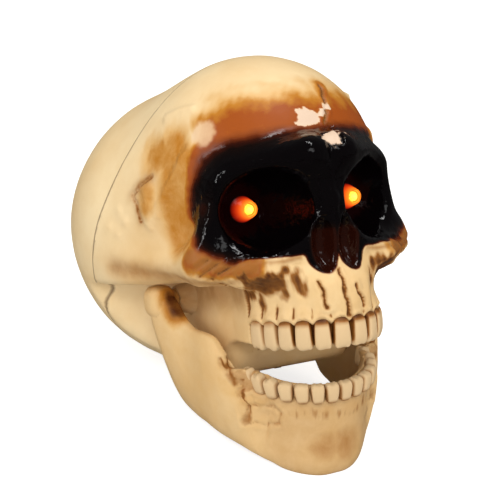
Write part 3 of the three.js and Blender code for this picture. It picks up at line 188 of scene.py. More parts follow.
# Ovals and ridges that the head is built from, as shares of its half sizes, with their softness
BUILT = (
    ((0, 0.4, 0.35), (1, 0.79, 0.99), 20),
    ((0, -0.13, 0.695), (0.752, 0.61, 0.767), 20),
    ((0, -0.54, 0.4), (0.53, 0.32, 0.507), 10),
    ((0, -0.52, 0), (0.368, 0.37, 0.32), 10),
)
RIDGES = (
    ((0.105, -0.8, 0.8), (0.451, -0.6, 0.707), 0.118, 0.092),
    ((0.498, -0.54, 0.667), (0.588, -0.5, 0.32), 0.092, 0.118),
    ((0.627, -0.5, 0.2), (0.395, -0.71, 0.12), 0.118, 0.105),
    ((0.658, -0.44, 0.187), (0.816, 0.22, 0.187), 0.105, 0.079),
    ((0, -0.74, 0.773), (0, -0.8, 0.533), 0.118, 0.079),
)
SOCKET = ((0.382, -0.78, 0.507), (0.276, 0.26, 0.24))
SOCKET_FLOOR = ((0.355, -0.62, 0.507), (0.18, 0.15, 0.165))
NOSTRIL = ((0.086, -0.92, 0.28), (0.08, 0.14, 0.173))
TEMPLE = ((1.026, -0.38, 0.587), (0.263, 0.24, 0.347))
CHEEK = ((0.526, -0.8, -0.027), (0.184, 0.14, 0.133))
# Hollows carved with their softness. A room inside keeps its wall clear of the deep ones
SHALLOW_HOLLOWS = ((TEMPLE, 10), (CHEEK, 6))
DEEP_HOLLOWS = ((SOCKET, 5), (SOCKET_FLOOR, 5), (NOSTRIL, 1.4))
RIDGE_SOFTNESS = 10
ARCH_HALF = np.array([0.43, 0.42]) * HALF[:2]
ARCH_Y = -0.47 * HALF[1]


def share_oval(p, shares):
    return oval(p, np.array(shares[0]) * HALF, np.array(shares[1]) * HALF)


def upper_arch(p):
    wall = flat_oval(p[:, 0], np.minimum(p[:, 1] - ARCH_Y, 0), ARCH_HALF)
    top_and_back = np.maximum(p[:, 2] - 0.1 * HALF[2], p[:, 1] + 0.3 * HALF[1])
    return common(common(wall, top_and_back, 6), BITE + 1.35 - p[:, 2], 2.5)


def pocket(p):
    side = BASE_HALF_WIDTH - p[:, 0]
    back = (p[:, 1] - 0.2 * HALF[1] + side * 0.6) / math.hypot(1, 0.6)
    front = -0.54 * HALF[1] - p[:, 1]
    wall = common(side, p[:, 2] - POCKET_ROOF, 2.5)
    return common(wall, common(back, front, 6), 6)


def base_block(p):
    low = np.array([-BASE_HALF_WIDTH, BASE_FRONT, -BASE_DROP - BASE_ROUNDING])
    high = np.array([BASE_HALF_WIDTH, BASE_BACK, HALF[2] / 4])
    q = np.abs(p - (low + high) / 2) - (high - low) / 2 + BASE_ROUNDING
    return np.linalg.norm(np.maximum(q, 0), axis=1) + np.minimum(q.max(1), 0) - BASE_ROUNDING


def head_field(points, wall=0.0):
    """Distance to the head, negative inside. wall keeps a room inside clear of the hollows."""
    p = mirrored(points)
    d = share_oval(p, BUILT[0])
    for centre, radii, softness in BUILT[1:]:
        d = join(d, share_oval(p, (centre, radii)), softness)
    for a, b, share_a, share_b in RIDGES:
        d = join(d, limb(p, a * HALF, b * HALF, share_a * HALF[0], share_b * HALF[0]), RIDGE_SOFTNESS)
    d = join(d, upper_arch(p), 6)
    d = join(d, base_block(p), 10)
    for hollow, softness in SHALLOW_HOLLOWS:
        d = carve(d, share_oval(p, hollow), softness)
    for hollow, softness in DEEP_HOLLOWS:
        d = carve(d, share_oval(p, hollow) - wall, softness)
    d = carve(d, pocket(p) - wall, 2.5)
    return common(d, -points[:, 2] - BASE_DROP, 6)


# Nets over the fields

NET_CENTRE = np.array([0.0, -5.0, 25.0])
# Turns the rays towards the face, so that the net is denser there
RAY_SHIFT = np.array([0, -0.36, 0])
# A walk along a ray: its start and inner end, how near counts as met, and its steps
WALK_START, WALK_END = 200.0, 3.0
MET = 0.04
STEP_SHARE, LEAST_STEP = 0.7, 0.2
# Settling on the surface: the probe for the slope, the least slope trusted and the longest move
PROBE = 0.05
LEAST_SLOPE = 0.2
LONGEST_MOVE = 2
SKIN_ROUNDS, FINE_ROUNDS, ROOM_ROUNDS = 24, 4, 3
# A face of the room that lies nearer to the skin than the inset, by more than the error, is pushed in
# by what it lacks and a little extra
CLEAR_ROUNDS = 5
CLEAR_ERROR, CLEAR_EXTRA = 0.5, 0.4
# Longest step of a line that is snapped to the skin
SKIN_STEP = 3
# Low and high corners of the zones with a finer mesh: the face and the temples
FINE_ZONES = (((-REACH, -REACH, -30), (57, -34, 96)), ((44, -REACH, 30), (REACH, 2, 80)))


def rays_to(points):
    rays = points - NET_CENTRE
    return rays / np.linalg.norm(rays, axis=1, keepdims=True)


def draw_in(rays, inset=0.0):
    """Walks in along each ray until it meets the head's surface, or one that lies inset below it."""
    reach = np.full(len(rays), WALK_START)
    live = np.arange(len(rays))
    spare = HOLLOW_SPARE if inset else 0.0
    while len(live):
        spot = NET_CENTRE + rays[live] * reach[live, None]
        d = head_field(spot, spare) + inset
        if inset:
            d += (GUM_SPARE * fade(spot[:, 2], *GUM_SPARE_HEIGHTS)
                  * fade(spot[:, 1], *GUM_SPARE_DEPTHS))
        moving = (d > MET) & (reach[live] > WALK_END)
        reach[live[moving]] -= np.maximum(d[moving] * STEP_SHARE, LEAST_STEP)
        live = live[moving]
    return NET_CENTRE + rays * reach[:, None]


def on_skin(line):
    """A line of points near the head, cut into short steps and snapped to its surface."""
    line = np.array(line, float)
    steps = [line[:1]]
    for a, b in zip(line[:-1], line[1:]):
        n = max(2, int(np.linalg.norm(b - a) / SKIN_STEP))
        steps.append(a + (b - a) * np.linspace(0, 1, n + 1)[1:, None])
    return draw_in(rays_to(np.vstack(steps)))


def settle(points, edges, rounds):
    """Evens out the spacing of points on the head's surface."""
    for _ in range(rounds):
        points = (points + neighbour_mean(edges, points)) / 2
        d = head_field(points)
        slope = np.stack([head_field(points + PROBE * way) - d for way in np.eye(3)], 1) / PROBE
        step = (d / np.maximum((slope ** 2).sum(1), LEAST_SLOPE))[:, None] * slope
        points = points - np.clip(step, -LONGEST_MOVE, LONGEST_MOVE)
    return points


def coordinates(bm):
    return np.array([v.co for v in bm.verts], float).reshape(-1, 3)


def place(bm, points):
    for v, p in zip(bm.verts, points):
        v.co = p


def neighbour_mean(edges, points):
    total = np.zeros_like(points)
    count = np.zeros(len(points))
    for a, b in ((0, 1), (1, 0)):
        np.add.at(total, edges[:, a], points[edges[:, b]])
        np.add.at(count, edges[:, a], 1)
    return total / np.maximum(count, 1)[:, None]


def edge_table(bm):
    bm.verts.index_update()
    return np.array([[v.index for v in e.verts] for e in bm.edges])


def in_fine_zone(p):
    q = mirrored(p)
    return np.any([((q > low) & (q < high)).all(1) for low, high in FINE_ZONES], axis=0)


def drawn_net(fineness, inset=0.0):
    """An icosphere, and the places of its vertices once they are drawn in onto the head."""
    bm = bmesh.new()
    bmesh.ops.create_icosphere(bm, subdivisions=fineness, radius=1.0)
    rays = coordinates(bm) + RAY_SHIFT
    return bm, draw_in(rays / np.linalg.norm(rays, axis=1, keepdims=True), inset)


def skin_net(fineness):
    """The skin of the head, with a finer mesh over the face and the temples."""
    bm, points = drawn_net(fineness)
    place(bm, settle(points, edge_table(bm), SKIN_ROUNDS))
    middles = np.array([f.calc_center_median() for f in bm.faces])
    edges = {e for f, fine in zip(bm.faces, in_fine_zone(middles)) if fine for e in f.edges}
    bmesh.ops.subdivide_edges(bm, edges=list(edges), cuts=1, use_grid_fill=True)
    bmesh.ops.triangulate(bm, faces=[f for f in bm.faces if len(f.verts) > 3])
    place(bm, settle(coordinates(bm), edge_table(bm), FINE_ROUNDS))
    return bm


def room_net(fineness, inset):
    """The room inside the shells, which lies inset below the skin."""
    bm, points = drawn_net(fineness, inset)
    edges = edge_table(bm)
    for _ in range(ROOM_ROUNDS):
        points = draw_in(rays_to(neighbour_mean(edges, points)), inset)
    corners = np.array([[v.index for v in f.verts] for f in bm.faces])
    for _ in range(CLEAR_ROUNDS):
        lack = head_field(points[corners].mean(1)) + inset
        for face in np.nonzero(lack > CLEAR_ERROR)[0]:
            at = corners[face]
            points[at] -= rays_to(points[at]) * (lack[face] + CLEAR_EXTRA)
    place(bm, points)
    return bm


# Objects and booleans

# Sides of a round tool, and the fewest vertices of a loose island that isn't a speck
ROUND_SIDES = 48
SPECK_SIZE = 50


def make_object(name, bm, in_row=False):
    """A mesh object at the origin. Points of the head are placed in the row frame."""
    if not in_row:
        place(bm, to_row(coordinates(bm)))
    bmesh.ops.recalc_face_normals(bm, faces=bm.faces)
    mesh = bpy.data.meshes.new(name)
    bm.to_mesh(mesh)
    bm.free()
    mesh.shade_smooth()
    obj = bpy.data.objects.new(name, mesh)
    bpy.context.scene.collection.objects.link(obj)
    return obj


def twin(obj, name):
    copy = obj.copy()
    copy.data = obj.data.copy()
    copy.name = name
    bpy.context.scene.collection.objects.link(copy)
    return copy


def drop(obj):
    mesh = obj.data
    bpy.data.objects.remove(obj)
    bpy.data.meshes.remove(mesh)


def cut(obj, tool, operation="DIFFERENCE", keep_tool=False):
    """Cuts, joins or limits obj by a tool."""
    mod = obj.modifiers.new("cut", "BOOLEAN")
    mod.operation = operation
    mod.solver = "MANIFOLD"
    mod.object = tool
    graph = bpy.context.evaluated_depsgraph_get()
    mesh = bpy.data.meshes.new_from_object(obj.evaluated_get(graph))
    obj.modifiers.clear()
    old, obj.data = obj.data, mesh
    bpy.data.meshes.remove(old)
    if not keep_tool:
        drop(tool)
    return obj


def drop_specks(obj):
    """Removes the loose specks of a few vertices that a cut along two close walls can leave."""
    bm = bmesh.new()
    bm.from_mesh(obj.data)
    left = set(bm.verts)
    while left:
        island = {left.pop()}
        edge = set(island)
        while edge:
            edge = {e.other_vert(v) for v in edge for e in v.link_edges} - island
            island |= edge
        left -= island
        if len(island) < SPECK_SIZE:
            bmesh.ops.delete(bm, geom=list(island), context="VERTS")
    bm.to_mesh(obj.data)
    bm.free()


def both_sides(tool_for, obj, operation="DIFFERENCE"):
    """Cuts or joins a tool on both sides. tool_for gets what turns a place into that side's."""
    for side in (-1, 1):
        cut(obj, tool_for(np.array([side, 1, 1])), operation)


def block(low, high, pose=Matrix.Identity(4), corner=0.0):
    """A block, with rounded upright edges where a corner radius is given."""
    bm = bmesh.new()
    bmesh.ops.create_cube(bm, size=1.0)
    low, high = Vector(low), Vector(high)
    bmesh.ops.scale(bm, vec=high - low, verts=bm.verts)
    bmesh.ops.translate(bm, vec=(high + low) / 2, verts=bm.verts)
    if corner:
        upright = [e for e in bm.edges if abs(e.verts[0].co.z - e.verts[1].co.z) > corner]
        bmesh.ops.bevel(
            bm, geom=upright, offset=corner, offset_type="OFFSET", segments=4, profile=0.5,
            affect="EDGES", material=-1)
    bmesh.ops.transform(bm, matrix=pose, verts=bm.verts)
    return make_object("block", bm)


def table():
    """What lies below the table top, with a top as wide as a skull needs."""
    bm = bmesh.new()
    bmesh.ops.create_cube(bm, size=1.0)
    bmesh.ops.translate(bm, vec=(0, 0, -0.5), verts=bm.verts)
    return make_object("table", bm, in_row=True)


def rod(a, b, radius_a, radius_b=None):
    a, b = Vector(a), Vector(b)
    bm = bmesh.new()
    bmesh.ops.create_cone(
        bm, cap_ends=True, segments=ROUND_SIDES, radius1=radius_a,
        radius2=radius_a if radius_b is None else radius_b, depth=(b - a).length)
    turn = (b - a).to_track_quat("Z", "Y").to_matrix().to_4x4()
    bmesh.ops.transform(bm, matrix=Matrix.Translation((a + b) / 2) @ turn, verts=bm.verts)
    return make_object("rod", bm)


def ball(centre, radii, squareness=1.0):
    """An oval, boxier where the squareness is below 1."""
    bm = bmesh.new()
    bmesh.ops.create_uvsphere(bm, u_segments=ROUND_SIDES, v_segments=ROUND_SIDES // 2, radius=1.0)
    p = coordinates(bm)
    place(bm, np.sign(p) * np.abs(p) ** squareness * np.array(radii) + np.array(centre))
    return make_object("ball", bm)


# Teeth

UPPER_SHARES = (1.02, 0.98, 1.02, 0.98, 0.98, 1.1)
LOWER_SHARES = (0.96, 0.96, 1.02, 1.02, 0.98, 0.93, 1.07)
TOOTH_GAP = 0.15
ARCH_SAMPLES = 500
TOOTH_SQUARENESS = np.array([0.48, 0.65, 0.5])
# Place and width of the furrows on a tooth's front, as shares of its half width
FURROW_AT, FURROW_WIDTH = 0.36, 0.13
# Heights in millimetres of the furrows, the belly and the cusps
FURROW, BELLY, CUSP = 0.2, 0.5, 0.35
# The teeth from this index on have higher cusps and less painted shade
FIRST_MOLAR = 4


class ToothRow:
    """Places of the teeth along half an oval."""

    def __init__(self, half, centre_y, shares, unit):
        self.half, self.centre_y, self.widths = np.asarray(half), centre_y, np.array(shares) * unit
        angle = np.linspace(0, math.pi / 2, ARCH_SAMPLES)
        line = np.stack([self.half[0] * np.sin(angle), -self.half[1] * np.cos(angle)], 1)
        length = np.append(0, np.cumsum(np.linalg.norm(np.diff(line, axis=0), axis=1)))
        ends = np.append(0, np.cumsum(self.widths + TOOTH_GAP))
        self.ends = np.interp(ends, length, angle)
        self.middles = np.interp((ends[:-1] + ends[1:]) / 2, length, angle)

    def point(self, angle):
        return self.half[0] * math.sin(angle), self.centre_y - self.half[1] * math.cos(angle)

    def heading(self, angle):
        return math.atan2(self.half[1] * math.sin(angle), self.half[0] * math.cos(angle))

    def phase(self, p):
        """0 at the middle of the tooth that a point lies beside, 1 at the gaps, 2 past the last."""
        angle = np.arctan2(np.abs(p[:, 0]) / self.half[0], (self.centre_y - p[:, 1]) / self.half[1])
        i = np.clip(np.searchsorted(self.ends, angle) - 1, 0, len(self.middles) - 1)
        half = (self.ends[i + 1] - self.ends[i]) / 2
        u = np.abs(angle - (self.ends[i + 1] + self.ends[i]) / 2) / half
        return np.where(angle > self.ends[-1], 2.0, np.minimum(u, 1.0))

    def across(self, p):
        """Place of a point across the arch: 1 on the line of the teeth."""
        return np.hypot(p[:, 0] / self.half[0], np.minimum(p[:, 1] - self.centre_y, 0) / self.half[1])

    def outward(self, p):
        ahead = np.minimum(p[:, 1] - self.centre_y, 0)
        way = np.stack([p[:, 0] / self.half[0] ** 2, ahead / self.half[1] ** 2, 0 * ahead], 1)
        return way / np.maximum(np.linalg.norm(way, axis=1, keepdims=True), 1e-9)


def tooth(row, index, side, bite, tall, thickness, neck, lean, root_up):
    """A boxy oval, narrower at the neck, with shallow upright furrows on its front."""
    bm = bmesh.new()
    bmesh.ops.create_uvsphere(bm, u_segments=36, v_segments=24, radius=1.0)
    p = coordinates(bm)
    p = np.sign(p) * np.abs(p) ** TOOTH_SQUARENESS
    across, up = p[:, 0].copy(), p[:, 2].copy()
    taper = 1 - (1 - neck) * fade(up, -0.6, 1)
    furrows = hill(across - FURROW_AT, FURROW_WIDTH) + hill(across + FURROW_AT, FURROW_WIDTH)
    furrow = FURROW * furrows * fade(up, 0.9, -0.6)
    belly = BELLY * (1 - up ** 2) * (1 - across ** 2) - furrow
    cusp = CUSP * np.cos(across * 5 + index) * fade(up, -0.5, -1) * (1.6 if index >= FIRST_MOLAR else 0.6)
    x = across * taper * row.widths[index] / 2
    y = p[:, 1] * (0.8 + 0.2 * taper) * thickness / 2 - np.where(p[:, 1] < 0, belly, 0)
    z = (up * tall / 2 + cusp) * (1 if root_up else -1)
    angle = row.middles[index]
    turn = Matrix.Rotation(row.heading(angle), 3, "Z") @ Matrix.Rotation(lean, 3, "X")
    spot_x, spot_y = row.point(angle)
    p = np.stack([x, y, z], 1) @ np.array(turn).T + [spot_x, spot_y, bite(spot_y)]
    p[:, 0] *= side
    place(bm, p)
    # Painted shade: darker at the neck, where the tooth meets the gum, and along the sides, next to the
    # gaps
    shade = 0.9 * fade(up, 0.45, 1) + 0.85 * fade(np.abs(across), 0.8, 1.0) * fade(up, -1, -0.4)
    shade = shade * (0.55 if index >= FIRST_MOLAR else 1.0) * (1.0 if root_up else 0.6)
    layer = bm.verts.layers.float.new("umber")
    for v, value in zip(bm.verts, np.clip(shade, 0, 1)):
        v[layer] = value
    return bm


def teeth_object(name, row, **shape):
    """All teeth of a row in one mesh."""
    whole = bmesh.new()
    for index in range(len(row.widths)):
        for side in (-1, 1):
            bm = tooth(row, index, side, **shape)
            mesh = bpy.data.meshes.new("tooth")
            bmesh.ops.recalc_face_normals(bm, faces=bm.faces)
            bm.to_mesh(mesh)
            bm.free()
            whole.from_mesh(mesh)
            bpy.data.meshes.remove(mesh)
    return make_object(name, whole)


def upper_row(form):
    half = ARCH_HALF - [form.tooth_thickness / MM / 2, 0]
    return ToothRow(half, ARCH_Y, UPPER_SHARES, form.upper_tooth_width / MM)


def lower_row(form):
    half = (0.55 * JAW[0], 0.345 * JAW[1])
    return ToothRow(half, -0.575 * JAW[1], LOWER_SHARES, form.lower_tooth_width / MM)


# Lines of the sculpted detail, in the upright head

ROOT_SLITS = (
    ((-12.3, -87.4, 4.5), (-9.9, -87.9, -7.1)),
    ((-2.2, -88.9, 9.0), (-1.2, -90.2, -1.6), (0.6, -89.3, -11.6)),
    ((4.7, -90, 1.5), (8.9, -88.2, -8.0)),
)
ROOT_SWELLS = (-16, -7, 3.5, 12.5)
FOREHEAD_CRACK = (
    (15.8, -54.5, 91.2), (11.1, -66, 78.4), (8.2, -70, 74), (11.8, -69.2, 72.3), (7.5, -80, 69),
    (5.9, -87.5, 64.9))
# Pale spots and their radii: painted highlights on the glossy forehead and a worn spot on the nasal spine
WORN_SPOT_AND_HIGHLIGHTS = (
    ((0.5, -68, 77.5), 5.6), ((-3.5, -69, 76), 3.0), ((3, -84, 67.5), 4.6), ((12, -64, 82), 2.4),
    ((9, -66.4, 78.6), 2.2), ((14, -75, 68.6), 3.0), ((2, -88, 17), 2.0))
# A softer painted highlight at the outer end of one brow
HIGHLIGHT_SPOT = (-42.5, -46.5, 74.3)
# The lines from here to FOSSA lie on both sides
TEMPLE_CRACK = ((58.4, -17.7, 56.3), (59.3, -14.8, 55), (61.4, -9, 52), (63.2, -4.7, 47.9))
LOWER_CRACK = ((63, -5.4, 47), (62.6, -8.3, 43.1), (62.4, -9.5, 35.9))
TEMPLE_RIDGE = ((48.3, -41.5, 67.3), (53.7, -32.5, 54.3), (56.8, -22.6, 43), (60.1, -14.8, 34.4))
TEMPLE_PATCH = ((59.5, -15.5, 49.5), (60.3, -14.5, 42.5))
CREST = ((48, -19.4, 82.9), (45, -27.2, 85), (41.5, -35.3, 85.7))
FAN = ((55.5, -17, 66), (52.5, -28, 64), (51.5, -31, 72))
UNDER_ARCH = (
    (71, 11.7, 13.6), (66.7, -0.7, 11.7), (60.1, -21.8, 9.6), (56.4, -47.1, 7), (47, -60, 4.5))
SOCKET_RIM = ((41, -68, 17.5), (33.4, -75.6, 15.3), (23.7, -78.9, 15.1), (17.3, -81.1, 16.2))
BRIDGE_SIDE = ((6, -87, 47), (6, -87, 35))
CHEEK_STAIN = ((57, -53, 20), (51, -60, 16), (44, -67, 15), (37, -73, 14))
KNOLLS = ((67.4, 5.1, 40.6), (70.8, 12, 33.1), (66.4, 1, 35.7), (69.5, 6, 30))
PLEATS = (
    ((37.7, -69.1, 17.6), (48.9, -62.1, 11.8)), ((32.5, -74.2, 15.3), (44.3, -63.7, 6.4)),
    ((42.9, -67, 16.5), (50.7, -57.5, 9)), ((47, -64, 17.5), (54.5, -55, 11)),
    ((35, -73, 12), (41, -66, 6.4)), ((52, -59, 18), (57.5, -52, 13)),
)
FOSSA = (
    ((24.3, -79.3, 10.5), (30, -73, 5)), ((31.7, -78.6, 8.5), (33.5, -67, 2)),
    ((20.6, -81.9, 8.4), (18.8, -83, 0.9)), ((36.5, -67.5, 4.2), (30.4, -64.7, -5)),
    ((26.9, -76, 6), (25.5, -77, -1)), ((32.4, -66.8, 1.8), (33.2, -57, -1.5)),
    ((40.5, -69.8, 9.5), (34, -68, 3)),
)
# Grooves in millimetres: depth and width, then the height of the lip, its place and its width
SLIT_SHAPE = (1.3, 0.8, 0.35, 2.0, 1.0)
CRACK_SHAPE = (0.9, 0.75, 0.5, 1.8, 1.3)
PLEAT_SHAPE = (0.4, 1.2, 0.3, 2.4, 1.2)
PATCH_SHAPE = (1.0, 0.8, 0.4, 2.2, 1.6)
# Swells and dents in millimetres: height and width
SWELL_SHAPE, KNOLL_SHAPE, FOSSA_SHAPE = (0.7, 3.2), (0.7, 2.4), (-0.5, 2.6)
# Sunk or raised lines: width and height in millimetres
MIRRORED_FORMS = (
    (TEMPLE_CRACK, 1.0, -2.0), (LOWER_CRACK, 0.9, -1.7), (TEMPLE_RIDGE, 3.2, 1.7),
    (TEMPLE_PATCH, 4.6, 1.7), (CREST, 2.2, 1.4), (FAN, 8.5, -2.0), (UNDER_ARCH, 3.5, -1.2),
    (SOCKET_RIM, 1.6, 0.5), (BRIDGE_SIDE, 4.5, -2.4),
)
# Brown lines, and painted shade under the cheek arch: width in millimetres and darkness
MIRRORED_STAINS_AND_SHADE = (
    (TEMPLE_CRACK, 1.5, 1.0), (LOWER_CRACK, 1.3, 1.0), (TEMPLE_CRACK, 3.4, 0.35),
    (LOWER_CRACK, 3.0, 0.3), (UNDER_ARCH, 5, 0.38), (SOCKET_RIM, 1.2, 0.4),
)


def line_distance(p, line, facing=None):
    """Distance from a line, measured across the way the surface faces where that is given."""
    best = np.full(len(p), 1e9)
    for a, b in zip(line[:-1], line[1:]):
        away, along = p - np.asarray(a), np.asarray(b, float) - a
        t = np.clip((away @ along) / max(along @ along, 1e-9), 0, 1)
        away = away - t[:, None] * along
        if facing is not None:
            away = away - (away * facing).sum(1)[:, None] * facing
        best = np.minimum(best, np.linalg.norm(away, axis=1))
    return best


def groove(distance, depth, width, lip, lip_at, lip_width):
    """Height of a groove with a raised lip along either side."""
    return lip * hill(distance - lip_at, lip_width) - depth * hill(distance, width)


def swell(distance, height, width):
    return height * hill(distance, width)


def skin_distance(p, line):
    return line_distance(p, on_skin(line))


def ripple(p, size, seed):
    """Smooth wandering value from about -1 to 1."""
    total = np.zeros(len(p))
    source = np.random.default_rng(seed)
    for octave in range(3):
        for _ in range(4):
            way = source.normal(size=3)
            way /= np.linalg.norm(way)
            wave = 2 ** octave * 2 * math.pi / size
            total += np.sin(p @ way * wave + source.uniform(0, 2 * math.pi)) / 2 ** octave
    return total / 5


def shaken(p):
    """The points moved a little, so that straight lines between them run crooked."""
    return p + 0.9 * np.stack([ripple(p, 7, 21), ripple(p, 7, 22), ripple(p, 7, 23)], 1)


def outward_normals(bm):
    bm.normal_update()
    normals = np.array([v.normal for v in bm.verts], float)
    points = coordinates(bm)
    return normals * np.sign(((points - points.mean(0)) * normals).sum())


def gum_height(p, u):
    """Height above the scalloped edge of the upper gum."""
    return p[:, 2] - (GUM + 2.2 * (1 - u ** 2))


def sculpt_head(bm, row):
    """Raises and sinks the fine forms of the face."""
    p = coordinates(bm)
    crooked = shaken(p)
    q, crooked_q = mirrored(p), mirrored(crooked)
    push = 0.2 * (ripple(p, 46, 31) - 1.5) + 0.05 * ripple(p, 12, 32)
    for slit in ROOT_SLITS:
        push += groove(skin_distance(crooked, slit), *SLIT_SHAPE)
    for x in ROOT_SWELLS:
        push += swell(skin_distance(p, ((x, -86, 3), (x * 0.97, -86, -12))), *SWELL_SHAPE)
    push += groove(skin_distance(crooked, FOREHEAD_CRACK), *CRACK_SHAPE)
    for line, width, height in MIRRORED_FORMS:
        push += swell(skin_distance(crooked_q, line), height, width)
    for spot in KNOLLS:
        push += swell(skin_distance(crooked_q, (spot, spot)), *KNOLL_SHAPE)
    for pleat in PLEATS:
        push += groove(skin_distance(q, pleat), *PLEAT_SHAPE)
    for stroke in FOSSA:
        push += swell(skin_distance(crooked_q, stroke), *FOSSA_SHAPE)
    push = np.clip(push, -SCULPT_DEPTH, SCULPT_DEPTH)
    push *= fade(p[:, 2], -BASE_DROP + 1, -BASE_DROP + 6)
    p = p + outward_normals(bm) * push[:, None]

    u = row.phase(p)
    above = gum_height(p, u)
    beside = fade(p[:, 1], -36, -42) * fade(p[:, 2], 12, 4)
    beside = beside * fade(row.across(p), 0.88, 0.96) * (u < 1.5)
    shift = -1.9 * fade(above, 0.35, -0.5) + 0.75 * hill(above - 1.5, 1.1) * (1 - 0.4 * u)
    shift += 0.55 * (1 - u ** 2) * fade(above, 0, 3) * fade(above, 14, 5)
    shift -= 1.3 * fade(above, 2, 8) * fade(np.abs(p[:, 0]), 10, 20)
    place(bm, p + row.outward(p) * (shift * beside)[:, None])


# Paint, painted shade, painted highlights and painted glow, as values on the vertices

# The black lacquered zone: height of its middle, half width there and what it widens by below, half
# heights and squareness above and below, and the oval beside the nose with its half sizes
SMOKE_MIDDLE = 44
SMOKE_HALF_WIDTH, SMOKE_WIDER_BELOW = 50, 5
SMOKE_HALF_HEIGHTS = (25.0, 26.5)
SMOKE_POWERS = (3.0, 6.0)
SMOKE_NOSE, SMOKE_NOSE_HALF = (7.3, 22), (7.6, 13.5)


def smoke_distance(p):
    """Distance out of the black lacquered zone round the eyes and the nose."""
    x, z = np.abs(p[:, 0]), p[:, 2]
    up = z > SMOKE_MIDDLE
    half_width = SMOKE_HALF_WIDTH + SMOKE_WIDER_BELOW * fade(z, SMOKE_MIDDLE, SMOKE_MIDDLE / 2)
    half_height, power = np.where(up, *SMOKE_HALF_HEIGHTS), np.where(up, *SMOKE_POWERS)
    away = np.abs(z - SMOKE_MIDDLE) / half_height
    gauge = ((x / half_width) ** power + away ** power) ** (1 / power)
    rim = p[:, 1] + 43 + 0.3 * np.maximum(z - 40, 0) + 1.15 * np.maximum(36 - z, 0)
    d = common(27 * (gauge - 1), rim - 25 * fade(x, 46, 38), 4)
    nose = flat_oval(x - SMOKE_NOSE[0], z - SMOKE_NOSE[1], SMOKE_NOSE_HALF)
    return join(d, common(nose, p[:, 1] + 50, 2), 2)


def smoke_and_amber(p, out):
    """The black lacquer, and the orange brown that fades away round it."""
    q = mirrored(p)
    wander, small = ripple(p, 26, 3), ripple(p, 8, 5)
    low = fade(p[:, 2], 31, 20) * fade(p[:, 1], -66, -72)
    d = out + (1 - low) * (1.4 * wander + 0.5 * small) + low * 0.35 * small
    soft = 1.3 * low + (1 - low) * (5 + 2.5 * fade(p[:, 2], 52, 66))
    smoke = fade(d, soft, -soft * 0.5)
    inside_nose = fade(share_oval(q, NOSTRIL), 2.2, 0.6) * fade(p[:, 2], 31, 26)
    smoke = np.minimum(smoke, 1 - 0.38 * inside_nose)

    forehead = fade(p[:, 2], 46, 62)
    reach = 9 + 22 * forehead * fade(q[:, 0], 56, 28)
    streak = ripple(p * [1, 1, 0.35], 9, 8)
    amber = fade(d + 2.5 * streak * forehead, reach, reach * 0.25) * (1 - low)
    for patch in (
        0.5 * fade(skin_distance(q, FAN) + 2 * streak, 15, 3),
        0.45 * fade(skin_distance(q, TEMPLE_PATCH) + 1.5 * streak, 10, 2),
        0.5 * fade(oval(q, (52, -38, 44), (14, 20, 32)) + 2 * wander, 5, -7),
        fade(skin_distance(q, CHEEK_STAIN) + 2.5 * streak, 10, 2),
        0.8 * hill(skin_distance(p, FOREHEAD_CRACK) + streak, 5),
        0.17 * fade(p[:, 2], 50, 5) * fade(p[:, 1], 40, -10),
    ):
        amber = np.maximum(amber, patch)
    return smoke, amber


def brown_paint_and_shade(p, cavity, smoke, row):
    """Brown strokes, stains in the cracks, and painted shade in hollows, under the cheek arch and between
    teeth.
    """
    q = mirrored(p)
    wander, small, brushed = ripple(p, 26, 3), ripple(p, 8, 5), ripple(p * [1.6, 1.6, 0.5], 5, 9)
    u = row.phase(p)
    above = gum_height(p, u)
    beside = fade(p[:, 1], -36, -42) * (u < 1.5)
    front = fade(np.abs(p[:, 0]), 29, 20)
    hollow = np.maximum(0, cavity)
    blotch = oval(q, (31, -72, 5), (9.5, 12, 6.5)) + 1.8 * brushed
    layers = [0.85 * fade(blotch, 1.5, -3)]
    layers += [fade(skin_distance(q, stroke) + 1.6 * brushed, 4.2, 0.4) for stroke in FOSSA]
    layers += [0.85 * hill(skin_distance(shaken(p), slit), 0.9) for slit in ROOT_SLITS]
    layers += [0.5 * fade(skin_distance(q, CHEEK_STAIN) + 2.5 * brushed, 8, 1)]
    layers += [0.3 * hill(skin_distance(q, pleat) + 1.2 * brushed, 2.2) for pleat in PLEATS]
    layers += [
        dark * hill(skin_distance(q, line) + 0.5 * small, width) for line, width, dark in MIRRORED_STAINS_AND_SHADE]
    layers += [
        0.9 * hill(skin_distance(shaken(p), FOREHEAD_CRACK), 0.8),
        # Painted shade on the side of the head below the cheek arch
        0.35 * fade(line_distance(q, ((40, -48, 0), (40, 10, 0))) + wander, 16, 4) * fade(p[:, 2], 8, 2),
        # Painted shade in the hollows of the face
        0.8 * fade(hollow, 0.06, 0.3) * fade(p[:, 1], -40, -50) * fade(smoke, 0.4, 0.0),
        # Painted shade on the gum behind and between the upper teeth
        beside * fade(above, 0.5, -0.2) * fade(p[:, 2], -24.9, -23.9) * (0.6 + 0.3 * front),
        0.12 * fade(above, 7, 1) * beside * fade(ripple(p, 6, 12), -0.2, 0.6),
    ]
    return np.max(layers, axis=0)


